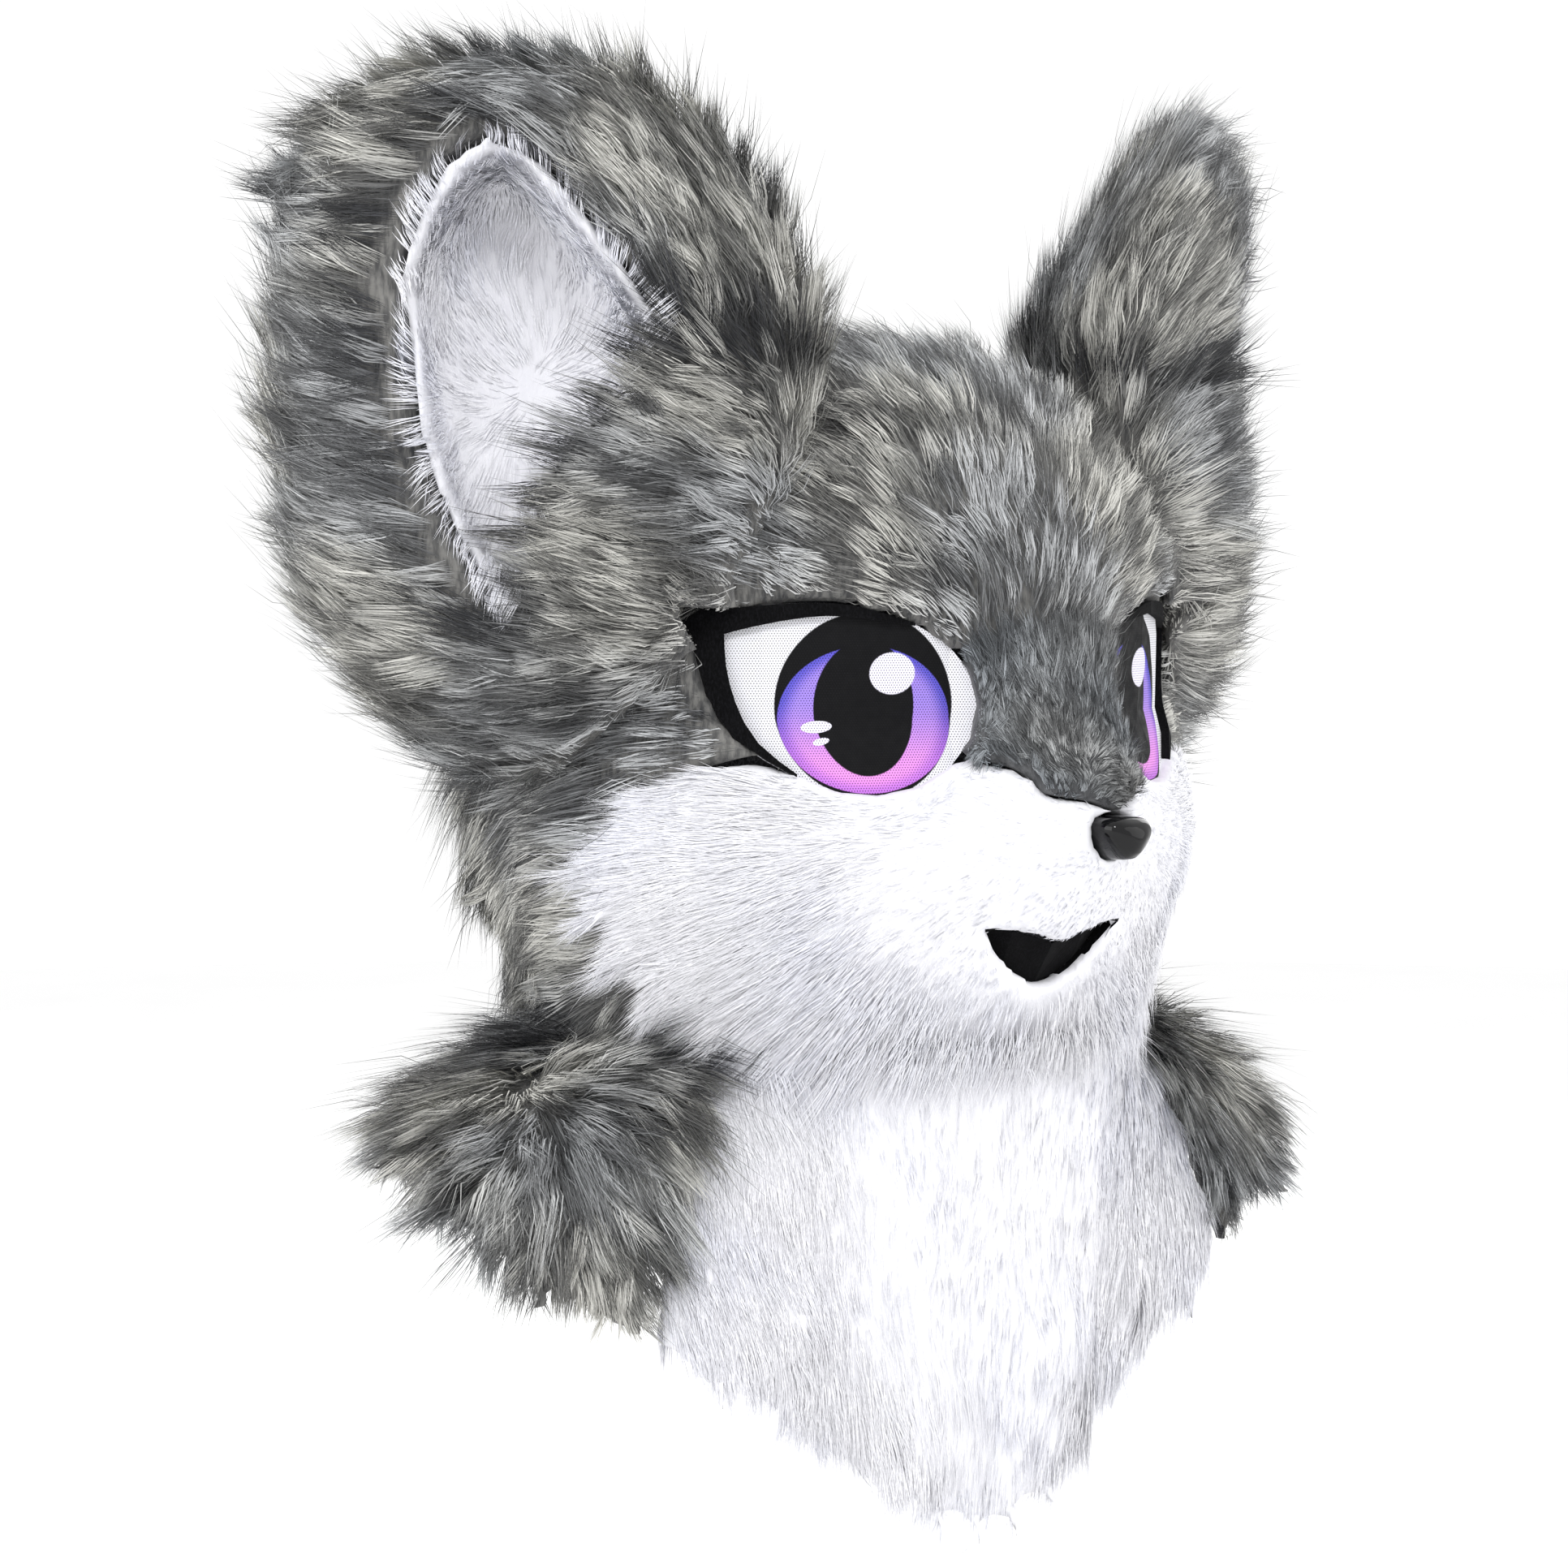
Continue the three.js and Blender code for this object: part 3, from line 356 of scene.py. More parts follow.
def ellipse_share(tree, u, v, ellipse):
    """1 on an ellipse's edge, less inside it and more outside it."""
    tilt = math.radians(ellipse.get("tilt", 0))
    half_u, half_v = ellipse["half_u"], ellipse["half_v"]
    du = math_node(tree, "SUBTRACT", u, ellipse["u"])
    dv = math_node(tree, "SUBTRACT", v, ellipse["v"])

    def turned_sum(operation, a, b, half):
        near = math_node(tree, "MULTIPLY", a, math.cos(tilt) / half)
        far = math_node(tree, "MULTIPLY", b, math.sin(tilt) / half)
        return math_node(tree, operation, near, far)

    along = turned_sum("ADD", du, dv, half_u)
    across = turned_sum("SUBTRACT", dv, du, half_v)
    return length_of(tree, along, across)


def lattice_distance(tree, u, v, offset):
    """Distance to the nearest point of a rectangular lattice; two of them make a hexagonal one."""
    away = []
    for value, pitch in ((u, HOLE_PITCH), (v, HOLE_PITCH * math.sqrt(3))):
        cells = math_node(tree, "MULTIPLY_ADD", value, 1 / pitch, offset + 50)
        from_middle = math_node(tree, "SUBTRACT", math_node(tree, "FRACT", cells), 0.5)
        away.append(math_node(tree, "MULTIPLY", from_middle, pitch))
    return length_of(tree, *away)


def eye_material(side):
    """Printed mesh: an iris with a soft glow, a pupil that joins the upper shade, light spots and
    fine holes."""
    material, tree, shader, place = new_material(f"eye_print_{WORDS[side]}")
    origin = np.array([side * EYE["out"], 0, EYE["level"]])
    across = np.array([EYE_COS, side * EYE_SIN, 0])
    u = along_axis(tree, place, across, origin, PER_METRE)
    v = along_axis(tree, place, SKYWARDS, origin, PER_METRE)
    mirrored_u = math_node(tree, "MULTIPLY", u, -side)
    white = between(tree, noise(tree, place, 30), "DFDFE6", "ECECF0")
    rim = ellipse_share(tree, mirrored_u, v, RIM)
    glow = ellipse_share(tree, mirrored_u, v, GLOW)
    height = spread(tree, v, FADE["low"], FADE["high"], 0, 1)
    violet = between(tree, height, "E695E2", "9D84E0")
    deep = between(tree, height, "C277DC", "5B55C4")
    iris = blend_colour(tree, spread(tree, glow, 0.78, 0.98, 0, 1), violet, deep)
    ink = linear("0B0B0D")
    colour = blend_colour(tree, spread(tree, rim, 0.985, 1.0, 1, 0), white, ink)
    colour = blend_colour(tree, spread(tree, glow, 0.985, 1.0, 1, 0), colour, iris)
    pupil = ellipse_share(tree, mirrored_u, v, PUPIL)
    colour = blend_colour(tree, spread(tree, pupil, 0.985, 1.01, 1, 0), colour, ink)
    for spot in EYE_SPOTS:
        edge = spread(tree, ellipse_share(tree, u, v, spot), 0.96, 1.03, 1, 0)
        colour = blend_colour(tree, edge, colour, linear("E9E6F6"))
    lattices = [lattice_distance(tree, u, v, offset) for offset in (0, 0.5)]
    holes = math_node(tree, "MINIMUM", *lattices)
    hole = spread(tree, holes, HOLE_RADIUS * 0.6, HOLE_RADIUS * 1.3, 0.75, 0)
    colour = blend_colour(tree, hole, colour, linear("17171A"))
    wire(tree, colour, shader.inputs["Base Color"])
    mottled_roughness(tree, shader, place, 200, 0.55, 0.7)
    shader.inputs["Specular IOR Level"].default_value = 0.12
    bump(tree, shader, math_node(tree, "SUBTRACT", 1, hole), 0.4, 0.3 * MM)
    return material


# Where things are on the head

def mix_numbers(a, b, share):
    return a * (1 - share) + b * share


def eye_place(points, side):
    """How far outwards and upwards points are from an iris's middle, on the eye's plane."""
    u = (points[:, 0] * side - EYE["out"]) * EYE_COS + points[:, 1] * EYE_SIN
    return u, points[:, 2] - EYE["level"]


def eye_axes(side):
    return np.array([side * EYE_COS, EYE_SIN, 0.0]), SKYWARDS


# Directions from the middle of an opening in which its outline is kept
OUTLINE_BINS = 180
POINTS_ON_EDGE = 30
# Share given to points that an opening has nothing to do with
FAR_OFF = 9.0


def outline_of(nodes, place):
    """How far some nodes reach from a middle, in each direction on a plane."""
    seen = []
    for node in nodes:
        mesh = NODES[node].data
        points = np.array([vertex.co for vertex in mesh.vertices])
        ends = points[np.array([edge.vertices for edge in mesh.edges])]
        starts, along = ends[:, 0], ends[:, 1] - ends[:, 0]
        seen += [starts + along * t for t in np.linspace(0, 1, POINTS_ON_EDGE)]
    u, v = place(np.concatenate(seen))
    bins = np.floor(np.arctan2(v, u) / (2 * math.pi) * OUTLINE_BINS).astype(int) % OUTLINE_BINS
    reach = np.zeros(OUTLINE_BINS)
    np.maximum.at(reach, bins, np.hypot(u, v))
    return reach


def outline_share(u, v, reach):
    """1 on an outline, less inside it and more outside it."""
    turn = np.arctan2(v, u) / (2 * math.pi) * OUTLINE_BINS - 0.5
    low = np.floor(turn).astype(int)
    edge = mix_numbers(reach[low % OUTLINE_BINS], reach[(low + 1) % OUTLINE_BINS], turn - low)
    return np.hypot(u, v) / edge


def mouth_place(points):
    return points[:, 0], points[:, 2] - MOUTH[2]


EYE_OUTLINES = {
    side: outline_of([f"eye_mesh_{word}", f"eyelid_{word}"], partial(eye_place, side=side))
    for side, word in WORDS.items()
}
MOUTH_OUTLINE = outline_of(["mouth_lining"], mouth_place)


def eye_share(points, side):
    """1 on the outline of an eye with its lid, less inside it and more outside it."""
    beside = (points[:, 0] * side > -20 * MM) & (points[:, 1] < 0)
    return np.where(beside, outline_share(*eye_place(points, side), EYE_OUTLINES[side]), FAR_OFF)


def mouth_share(points):
    """The same for the mouth."""
    ahead = points[:, 1] < -80 * MM
    return np.where(ahead, outline_share(*mouth_place(points), MOUTH_OUTLINE), FAR_OFF)


def openings_share(points):
    """1 on the edge of the nearest of the eyes and the mouth, and less inside it."""
    return np.minimum(np.minimum(eye_share(points, 1), eye_share(points, -1)), mouth_share(points))


# How far from an opening the pile begins to turn, as a share of the opening's reach
EYE_MARGIN = 0.45
MOUTH_MARGIN = 0.8


def steered(directions, outwards, share, margin):
    """Directions turned along an opening's edge where they would lead over it, from a margin in."""
    near = smooth_step(1 + margin, 1.08, share)
    inwards = -(directions * outwards).sum(1)
    return directions + outwards * (np.maximum(inwards + 0.15, 0) * near)[:, None]


def steer_clear(points, directions):
    """Turns directions that lead over an eye or the mouth along its edge instead."""
    for side in (-1, 1):
        u, v = eye_place(points, side)
        across, up = eye_axes(side)
        outwards = unit(u[:, None] / EYE_HALF_WIDTH * across + v[:, None] / EYE_HALF_HEIGHT * up)
        directions = steered(directions, outwards, eye_share(points, side), EYE_MARGIN)
    outwards = unit((points - MOUTH) * np.array([0.4, 0, 1.0]))
    return unit(steered(directions, outwards, mouth_share(points), MOUTH_MARGIN))


# Which way the pile lies, for each panel

def crown_flow(points):
    """Away from the nose, over the brow to the sides, and down at the back."""
    away = unit(points - (NOSE + np.array([0, 0.03, 0.01])))
    back = smooth_step(-0.02, 0.14, points[:, 1])
    low = smooth_step(-0.12, -0.26, points[:, 2])
    out = smooth_step(0.01, 0.11, np.abs(points[:, 0])) * (1 - 0.5 * back)
    side = np.sign(points[:, :1]) * np.array([0.95, 0, 0]) * out[:, None]
    down = np.outer(0.1 + 1.1 * back + 0.45 * low, [0, 0, -1.0])
    return away + down + side


def face_flow(points):
    """Away from the nose, and down below it."""
    away = unit(points - NOSE)
    low = smooth_step(NOSE[2] + 0.01, NOSE[2] - 0.09, points[:, 2])
    return away + np.outer(0.1 + 0.5 * low, [0, 0, -1.0]) + np.array([0, 0.3, 0])


def ear_axes(side):
    """Unit vectors across an ear, away from the head, and ahead of it."""
    cos, sin = math.cos(EAR_TURN), math.sin(EAR_TURN)
    return np.array([side * cos, sin, 0.0]), np.array([side * sin, -cos, 0.0])


def ear_coordinates(points, side):
    """How far out, ahead and up points are, along one ear's own axes."""
    across, ahead = ear_axes(side)
    return points @ across, points @ ahead, points[:, 2]


# Where the head's fur meets the front of an ear: a line that climbs outwards
EAR_FOLD = {"out": 81 * MM, "level": 25 * MM, "slope": 0.33, "outer_end": 165 * MM}
# Height above the line that points beyond its outer end get
PAST_FOLD = 100 * MM


def fold_height(points, side):
    """How far points on an ear are above the line where the head's fur meets it."""
    out, _, up = ear_coordinates(points, side)
    line = EAR_FOLD["level"] + (out - EAR_FOLD["out"]) * EAR_FOLD["slope"]
    return np.where(out < EAR_FOLD["outer_end"], up - line, PAST_FOLD)


def hollow_middle(side):
    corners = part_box(f"ear_lining_{WORDS[side]}")
    return np.mean([np.array(corner) for corner in corners], axis=0)


def ear_flow(side):
    """Up on the back, outwards round the hollow in front, and away from the face at the foot."""
    across, ahead = ear_axes(side)
    middle = hollow_middle(side)

    def flow(points):
        out, forward, up = ear_coordinates(points - middle, side)
        front = smooth_step(-0.05, 0.0, forward)
        outer = smooth_step(-0.07, 0.02, out)[:, None]
        low = smooth_step(-0.05, -0.16, up)[:, None]
        rise = 1.0 - 0.8 * outer - 0.5 * low * outer
        rim = across * (0.5 + 0.6 * outer) + SKYWARDS * rise + ahead * 0.8
        foot = across + SKYWARDS * 0.3
        rim = mix(foot, rim, smooth_step(-0.008, 0.012, fold_height(points, side)))
        rear = SKYWARDS + across * np.clip(out * 6, -0.5, 0.5)[:, None]
        return mix(rear, rim, front)

    return flow


def lining_flow(side):
    """Outwards from the middle of the hollow on all sides, and out of it."""
    across, ahead = ear_axes(side)
    middle = hollow_middle(side)

    def flow(points):
        out, _, up = ear_coordinates(points - middle, side)
        spread_out = unit(np.stack([out, up], 1))
        return spread_out[:, :1] * across + (spread_out[:, 1:] + 0.3) * SKYWARDS + ahead * 0.5

    return flow


def cape_flow(points):
    """Down and outwards, and over the bib's edges in front."""
    out = unit(points * np.array([1.0, 1.0, 0])) * 0.35
    sideways = np.abs(points[:, 0])
    front = smooth_step(BIB_HALF_WIDTH + 40 * MM, BIB_HALF_WIDTH, sideways) * (points[:, 1] < 0)
    over = -np.sign(points[:, :1]) * np.array([0.9, 0, 0]) * front[:, None]
    return out + over + np.array([0, 0, -1.0])


def bib_flow(points):
    """Down, and a little inwards at the sides."""
    inwards = -np.sign(points[:, 0]) * 0.12 * smooth_step(0.02, 0.08, np.abs(points[:, 0]))
    return np.array([0, -0.1, -1.0]) + np.outer(inwards, [1, 0, 0])


# How long the pile is, and where its skin ends

TRIM = {"edge": 7 * MM, "gain": 70 * MM}
# A skin's edge is moved to this share of an opening's outline
EYE_EDGE = 0.985
MOUTH_EDGE = 1.0
# Points within SNAP of an edge go to it, and points within EASE of it are spread out
SNAP = 0.065
EASE = 0.2


def trimmed(lengths, points):
    """Lengths cut short at the edges of the eyes and the mouth."""
    away = np.maximum(openings_share(points) - 1.02, 0)
    return np.minimum(lengths, TRIM["edge"] + away * TRIM["gain"])


def edge_move(share, edge):
    """How far to move a point, as a share of its place, so that an opening's edge lies evenly."""
    wanted = np.interp(share, [edge + SNAP, edge + EASE], [edge, edge + EASE])
    return np.where(share < edge + EASE, wanted / np.maximum(share, 0.3) - 1, 0)


def opened(points):
    """A skin's points moved so that its holes end at the edges of the eyes and the mouth."""
    for side in (-1, 1):
        u, v = eye_place(points, side)
        across, up = eye_axes(side)
        move = edge_move(eye_share(points, side), EYE_EDGE)
        points = points + (u * move)[:, None] * across + (v * move)[:, None] * up
    move = edge_move(mouth_share(points), MOUTH_EDGE)
    u, v = mouth_place(points)
    return points + np.stack([u * move, np.zeros(len(points)), v * move], 1)


def crown_length(points):
    """Long at the back, and shorter on the brow, at the eyes and at the neck."""
    near_eye = smooth_step(1.7, 1.05, openings_share(points))
    brow = smooth_step(0.05, -0.1, points[:, 1])
    low = smooth_step(-0.16, -0.22, points[:, 2])
    grown = mix_numbers(36 * MM, 27 * MM, np.maximum(brow, low))
    return trimmed(grown * (1 - 0.35 * near_eye), points)


def face_length(points):
    """Short at the nose, longer on the cheeks, and longest under the chin."""
    away = np.linalg.norm(points - NOSE, axis=1)
    chin = smooth_step(MOUTH[2] - 0.012, MOUTH[2] - 0.035, points[:, 2])
    grown = mix_numbers(6 * MM, 26 * MM, smooth_step(0.03, 0.17, away))
    return trimmed(np.maximum(grown, 40 * MM * chin), points)


def bridge_length(points):
    away = np.linalg.norm(points - NOSE, axis=1)
    return trimmed(mix_numbers(6 * MM, 20 * MM, smooth_step(0.02, 0.1, away)), points)


def even_length(size):
    return lambda points: np.full(len(points), size)


def zeros(points):
    return np.zeros(len(points))


def ones(points):
    return np.ones(len(points))


def face_density(points):
    """Dense towards the cheeks' and the chin's edges, where single strands show."""
    away = np.linalg.norm((points - NOSE) * np.array([1, 1, 1.4]), axis=1)
    return 0.2 + smooth_step(0.1, 0.18, away)


def bib_density(points):
    """Dense towards the bib's sides and its hem, where single strands show."""
    side = smooth_step(0.07, 0.11, np.abs(points[:, 0]) + np.maximum(-0.4 - points[:, 2], 0) * 0.6)
    return 0.15 + side


def ruff_length(points):
    """Long on the shoulders and shorter at the hem."""
    return mix_numbers(38 * MM, 24 * MM, smooth_step(-0.33, -0.39, points[:, 2]))


def bib_length(points):
    """Longer towards the point of the bib."""
    return mix_numbers(20 * MM, 32 * MM, smooth_step(-0.37, -0.46, points[:, 2]))


# Solids as meshes

def placed(name, data):
    """A new object in the scene."""
    thing = bpy.data.objects.new(name, data)
    bpy.context.scene.collection.objects.link(thing)
    return thing


def rows_of(items, name, kind):
    """One value of three parts for each item."""
    values = np.empty(len(items) * 3, kind)
    items.foreach_get(name, values)
    return values.reshape(-1, 3)


def mesh_arrays(mesh):
    """A mesh's points, triangles and smooth normals."""
    mesh.calc_loop_triangles()
    triangles = rows_of(mesh.loop_triangles, "vertices", int)
    return rows_of(mesh.vertices, "co", float), triangles, rows_of(mesh.vertices, "normal", float)


def tree_of(nodes):
    """All triangles of some nodes, for rays."""
    points, triangles, count = [], [], 0
    for node in nodes:
        p, t, _ = mesh_arrays(NODES[node].data)
        points.append(p)
        triangles.append(t + count)
        count += len(p)
    return BVHTree.FromPolygons(np.concatenate(points).tolist(), np.concatenate(triangles).tolist())


ALL_SOLIDS = tree_of(NODES)


def settled(piece):
    """Applies a piece's modifiers, so that its own mesh is the final one."""
    graph = bpy.context.evaluated_depsgraph_get()
    mesh = bpy.data.meshes.new_from_object(piece.evaluated_get(graph))
    piece.modifiers.clear()
    piece.data = mesh
    return piece


def skin_of(name, node, material, voxel, inset, smoothing):
    """A smooth closed copy of a node, drawn in by inset, that carries the pile."""
    piece = placed(name, NODES[node].data.copy())
    remesh = piece.modifiers.new("Remesh", "REMESH")
    remesh.mode = "VOXEL"
    remesh.voxel_size = voxel
    smooth = piece.modifiers.new("Smooth", "SMOOTH")
    smooth.factor = 0.5
    smooth.iterations = smoothing
    draw_in = piece.modifiers.new("Inset", "DISPLACE")
    draw_in.mid_level = 0
    draw_in.strength = -inset
    settled(piece)
    points, _, _ = mesh_arrays(piece.data)
    piece.data.vertices.foreach_set("co", opened(points).ravel())
    piece.data.update()
    piece.data.materials.clear()
    piece.data.materials.append(material)
    piece.data.shade_smooth()
    return piece


def nearest_finder(points):
    """Finds the nearest of some points to a place."""
    finder = KDTree(len(points))
    for k, point in enumerate(points):
        finder.insert(point, k)
    finder.balance()
    return finder.find


def nearest_distance(points, node):
    """Distance from each point to the nearest vertex of a node."""
    find = nearest_finder(mesh_arrays(NODES[node].data)[0])
    return np.array([find(point)[2] for point in points])


# The pile

# Depth of a strand's root under the skin, and height over a face from which its view is tested
ROOT_DEPTH = 1.5 * MM
VIEW_START = 1.5 * MM


def open_triangles(points, triangles, pile):
    """The triangles of a skin that look out into the open, with their normals and areas."""
    a, b, c = (points[triangles[:, k]] for k in range(3))
    cross = np.cross(b - a, c - a)
    areas = np.linalg.norm(cross, axis=1) / 2
    normals = unit(cross)
    middles = (a + b + c) / 3
    wanted = pile["faces_out"](middles, normals)
    starts = middles + normals * (pile["inset"] + VIEW_START)
    for k in np.flatnonzero(wanted):
        if ALL_SOLIDS.ray_cast(Vector(starts[k]), Vector(normals[k]), pile["clear"])[0] is not None:
            wanted[k] = False
    return np.flatnonzero(wanted), areas


def off_the_head(middles, normals):
    """True where a panel looks away from the head's middle, so not on the walls of its holes."""
    out = unit(middles - np.array([0, 0.01, HEAD_HIGH.z - 0.15]))
    return (normals * out).sum(1) > 0.4


def outwardness(middles, normals):
    """How far faces of the cape and bib look out or, on the shoulders, up."""
    out = unit(middles * np.array([1.0, 1.0, 0]))
    return (normals * out).sum(1) + 0.6 * normals[:, 2]


def outside_only(middles, normals):
    """Picks all but the underside of the cape and the bib."""
    return outwardness(middles, normals) > -0.1


def roots_on(skin, pile, rng):
    """Random roots on the open part of a skin, with the skin's smooth normals there."""
    points, triangles, normals = mesh_arrays(skin.data)
    chosen, areas = open_triangles(points, triangles, pile)
    count = pile["count"]
    weights = areas[chosen] * pile["density"](points[triangles[chosen]].mean(1))
    picked = chosen[rng.choice(len(chosen), count, p=weights / weights.sum())]
    r, s = np.sqrt(rng.random(count)), rng.random(count)
    shares = np.stack([1 - r, r * (1 - s), r * s], 1)
    corners = triangles[picked]
    places = (points[corners] * shares[:, :, None]).sum(1)
    return places, unit((normals[corners] * shares[:, :, None]).sum(1))


def turned(vectors, about, angles):
    """Vectors turned about unit axes at right angles to them."""
    return vectors * np.cos(angles)[:, None] + np.cross(about, vectors) * np.sin(angles)[:, None]


def nearest_centres(places, share, rng):
    """For each strand, the strand in the middle of the lock that it belongs to."""
    centres = np.sort(rng.choice(len(places), max(int(len(places) * share), 1), replace=False))
    find = nearest_finder(places[centres])
    return centres[[find(place)[1] for place in places]]


def strand_colours(coat, places, dark_lock, guard, shade, rng):
    """Root, middle and tip colours of each strand, with painted shade at the roots and from shade.
    """
    count = len(places)
    patch = ripple(places, 55 * MM, 11) * 0.6 + ripple(places, 22 * MM, 12) * 0.4
    warm = smooth_step(-0.5, 0.5, ripple(places, 90 * MM, 13))
    base = mix(coat["cool"], coat["pale"], warm)
    dark = np.clip(coat["patch"] * (patch + 1.6 * dark_lock) + 0.85 * shade, 0, 1)
    body = mix(base, coat["dark"], dark) * rng.normal(1, 0.06, count).clip(0.8, 1.2)[:, None]
    deep = np.where(guard, rng.uniform(0.75, 1, count), rng.uniform(0, 0.25, count))
    tip = mix(body * 1.04, coat["tip"], deep)
    middle = mix(body, coat["tip"], deep * rng.uniform(0.45, 1, count))
    # Roots darkened by the coat's root share: painted shade deep in the pile.
    return body * coat["root"], middle, tip


def shortened(root, middle, tip, share):
    """Strands kept to a share of their length."""
    return root + (middle - root) * share[:, None], root + (tip - root) * share[:, None]


def kept_off_openings(root, middle, tip):
    """Strands cut back so that none lies over an eye, its lid or the mouth."""
    for _ in range(4):
        over = np.minimum(openings_share(tip), openings_share(middle)) < 1.0
        middle, tip = shortened(root, middle, tip, np.where(over, 0.62, 1.0))
    return middle, tip


def grow(name, skin, pile, rng):
    """The pile on a skin as one mesh of bent strands: soft wool, and thinner guard hairs."""
    count = pile["count"]
    places, normals = roots_on(skin, pile, rng)
    lock = nearest_centres(places, 1 / pile["lock_size"], rng)
    shade = pile["shade"](places)
    coat = COATS[pile["coat"]]
    # patch here also takes in half the painted shade, so dark locks come more often where shade is
    # painted.
    patch = ripple(places, 40 * MM, 31) * coat["patch"] + 0.5 * shade
    dark_lock = rng.random(count)[lock] < coat["guard"] + patch
    guard = rng.random(count) < np.where(dark_lock, 0.8, 0.2)
    stray = guard & (rng.random(count) < pile["stray"])
    flow = pile["flow"](places)
    flow = unit(flow - normals * (flow * normals).sum(1, keepdims=True))
    flow = steer_clear(places, flow)
    flow = unit(flow - normals * (flow * normals).sum(1, keepdims=True))
    sway = ripple(places, 70 * MM, 21) * pile["sway"]
    yaw = sway + rng.normal(0, pile["lock_yaw"], count)[lock] + rng.normal(0, 0.12, count)
    flow = turned(flow, normals, yaw)
    lock_lift = rng.normal(0, pile["lock_lift"], count)[lock]
    lift = np.radians(pile["lift"]) + lock_lift + pile["raise"](places)
    lift = np.clip(lift + rng.normal(0, pile["loose"], count), 0.04, 1.2)
    length = pile["length"](places) * rng.uniform(0.75, 1.05, count)
    length *= rng.normal(1, 0.12, count).clip(0.7, 1.3)[lock] * np.where(guard, 1.15, 0.9)
    length *= np.where(stray, 1.4, 1)
    near_half = flow * np.cos(lift * 1.15)[:, None] + normals * np.sin(lift * 1.15)[:, None]
    far_lift = lift * pile["droop"]
    far_half = flow * np.cos(far_lift)[:, None] + normals * np.sin(far_lift)[:, None]
    middle = places + near_half * (length * 0.5)[:, None]
    tip = middle + far_half * (length * 0.5)[:, None]
    pull = pile["pull"] * rng.uniform(0.4, 1.2, count) * np.where(stray, 0.2, 1)
    tip = mix(tip, tip[lock] - (places[lock] - places) * 0.15, pull)
    middle = mix(middle, middle[lock] - (places[lock] - places) * 0.5, pull * 0.4)
    middle, tip = kept_off_openings(places, middle, tip)
    middle, tip = pile["hem"](places, middle, tip, rng)
    root = places - normals * ROOT_DEPTH
    width = pile["width"] * rng.uniform(0.75, 1.2, count) * np.where(guard, pile["guard_width"], 1)
    colours = strand_colours(coat, places, dark_lock, guard, shade, rng)
    strands = (root, middle, held_in_box(tip))
    return strands_mesh(name, strands, width, normals, colours, pile["softness"], rng)


# Room for pile round the solids' box: a share of each side, and a fixed width
ROOM_SHARE = 0.025
ROOM = 8 * MM


def held_in_box(points):
    """Points kept just within the room for pile round the solids."""
    low, high = np.array(cad_low), np.array(cad_high)
    room = (high - low) * ROOM_SHARE + ROOM
    return np.clip(points, low - room, high + room)


def strands_mesh(name, strands, width, normals, colours, softness, rng):
    """Strands as narrow blades, widest in the middle, where each bends: two triangles apiece."""
    root, middle, tip = strands
    count = len(root)
    along = unit(tip - root)
    side = unit(np.cross(along, normals))
    side = turned(side, along, rng.uniform(-0.8, 0.8, count))
    half = side * (width / 2)[:, None]
    corners = np.stack([root, middle - half, middle + half, tip], 1)
    starts = (np.arange(count) * 4)[:, None]
    loops = (starts + [0, 2, 1, 1, 2, 3]).ravel()
    mesh = bpy.data.meshes.new(name)
    mesh.vertices.add(count * 4)
    mesh.vertices.foreach_set("co", corners.astype(np.float32).ravel())
    mesh.loops.add(len(loops))
    mesh.loops.foreach_set("vertex_index", loops.astype(np.int32))
    mesh.polygons.add(count * 2)
    mesh.polygons.foreach_set("loop_start", np.arange(0, count * 6, 3, dtype=np.int32))
    mesh.update(calc_edges=True)
    at_corners = np.stack(colours, 1)[:, [0, 1, 1, 2]].reshape(-1, 3)
    at_corners = np.concatenate([np.clip(at_corners, 0, 1), np.ones((count * 4, 1))], 1)
    attribute = mesh.color_attributes.new("pile_colour", "FLOAT_COLOR", "POINT")
    attribute.data.foreach_set("color", at_corners.astype(np.float32).ravel())
    mesh.shade_smooth()
    blade = np.cross(side, along)
    soft = np.repeat(unit(normals * softness + blade * (1 - softness)), 4, axis=0)
    mesh.normals_split_custom_set_from_vertices(soft.tolist())
    return placed(name, mesh)


def shade_near(nodes, reach, strength):
    """Darker close to the edges of other nodes, as pile is in a crease."""

    def shade(points):
        away = np.min([nearest_distance(points, node) for node in nodes], axis=0)
        return strength * np.exp(-((away / reach) ** 2))

    return shade


# Directions in which a hem's height is kept, and heights over its lowest points to end pile at
HEM_BINS = 40
HEM_RANGE = (-4 * MM, 18 * MM)


def hem_of(node):
    """Cuts strands back to hang only a little below the lowest points of the cape or the bib."""
    vertices = mesh_arrays(NODES[node].data)[0]

    def bin_of(points):
        turn = np.arctan2(points[:, 0], -points[:, 1]) / (2 * math.pi)
        return np.floor(turn * HEM_BINS).astype(int) % HEM_BINS

    lowest = np.full(HEM_BINS, cad_low.z)
    for k in range(HEM_BINS):
        near = vertices[bin_of(vertices) == k]
        lowest[k] = near[:, 2].min() if len(near) else lowest[k - 1]

    def trim(root, middle, tip, rng):
        limit = lowest[bin_of(root)] + rng.uniform(*HEM_RANGE, len(root))
        fall = np.maximum(root[:, 2] - tip[:, 2], 1 * MM)
        share = np.clip((root[:, 2] - limit) / fall, 0.3, 1)
        return shortened(root, middle, tip, share)

    return trim


def no_hem(root, middle, tip, rng):
    return middle, tip


def rim_share(points, side):
    """1 at the edge of an ear's hollow, and 0 in its middle."""
    out, _, up = np.abs(ear_coordinates(points - hollow_middle(side), side))
    return smooth_step(0.55, 0.95, np.hypot(out / out.max(), up / up.max()))


def lining_raise(points, side):
    """Lifts the white pile at a hollow's edge, so that it hangs out over the edge."""
    return 0.45 * rim_share(points, side)


def lining_density(points, side):
    """Dense at a hollow's edge, where single strands show."""
    return 0.3 + rim_share(points, side)


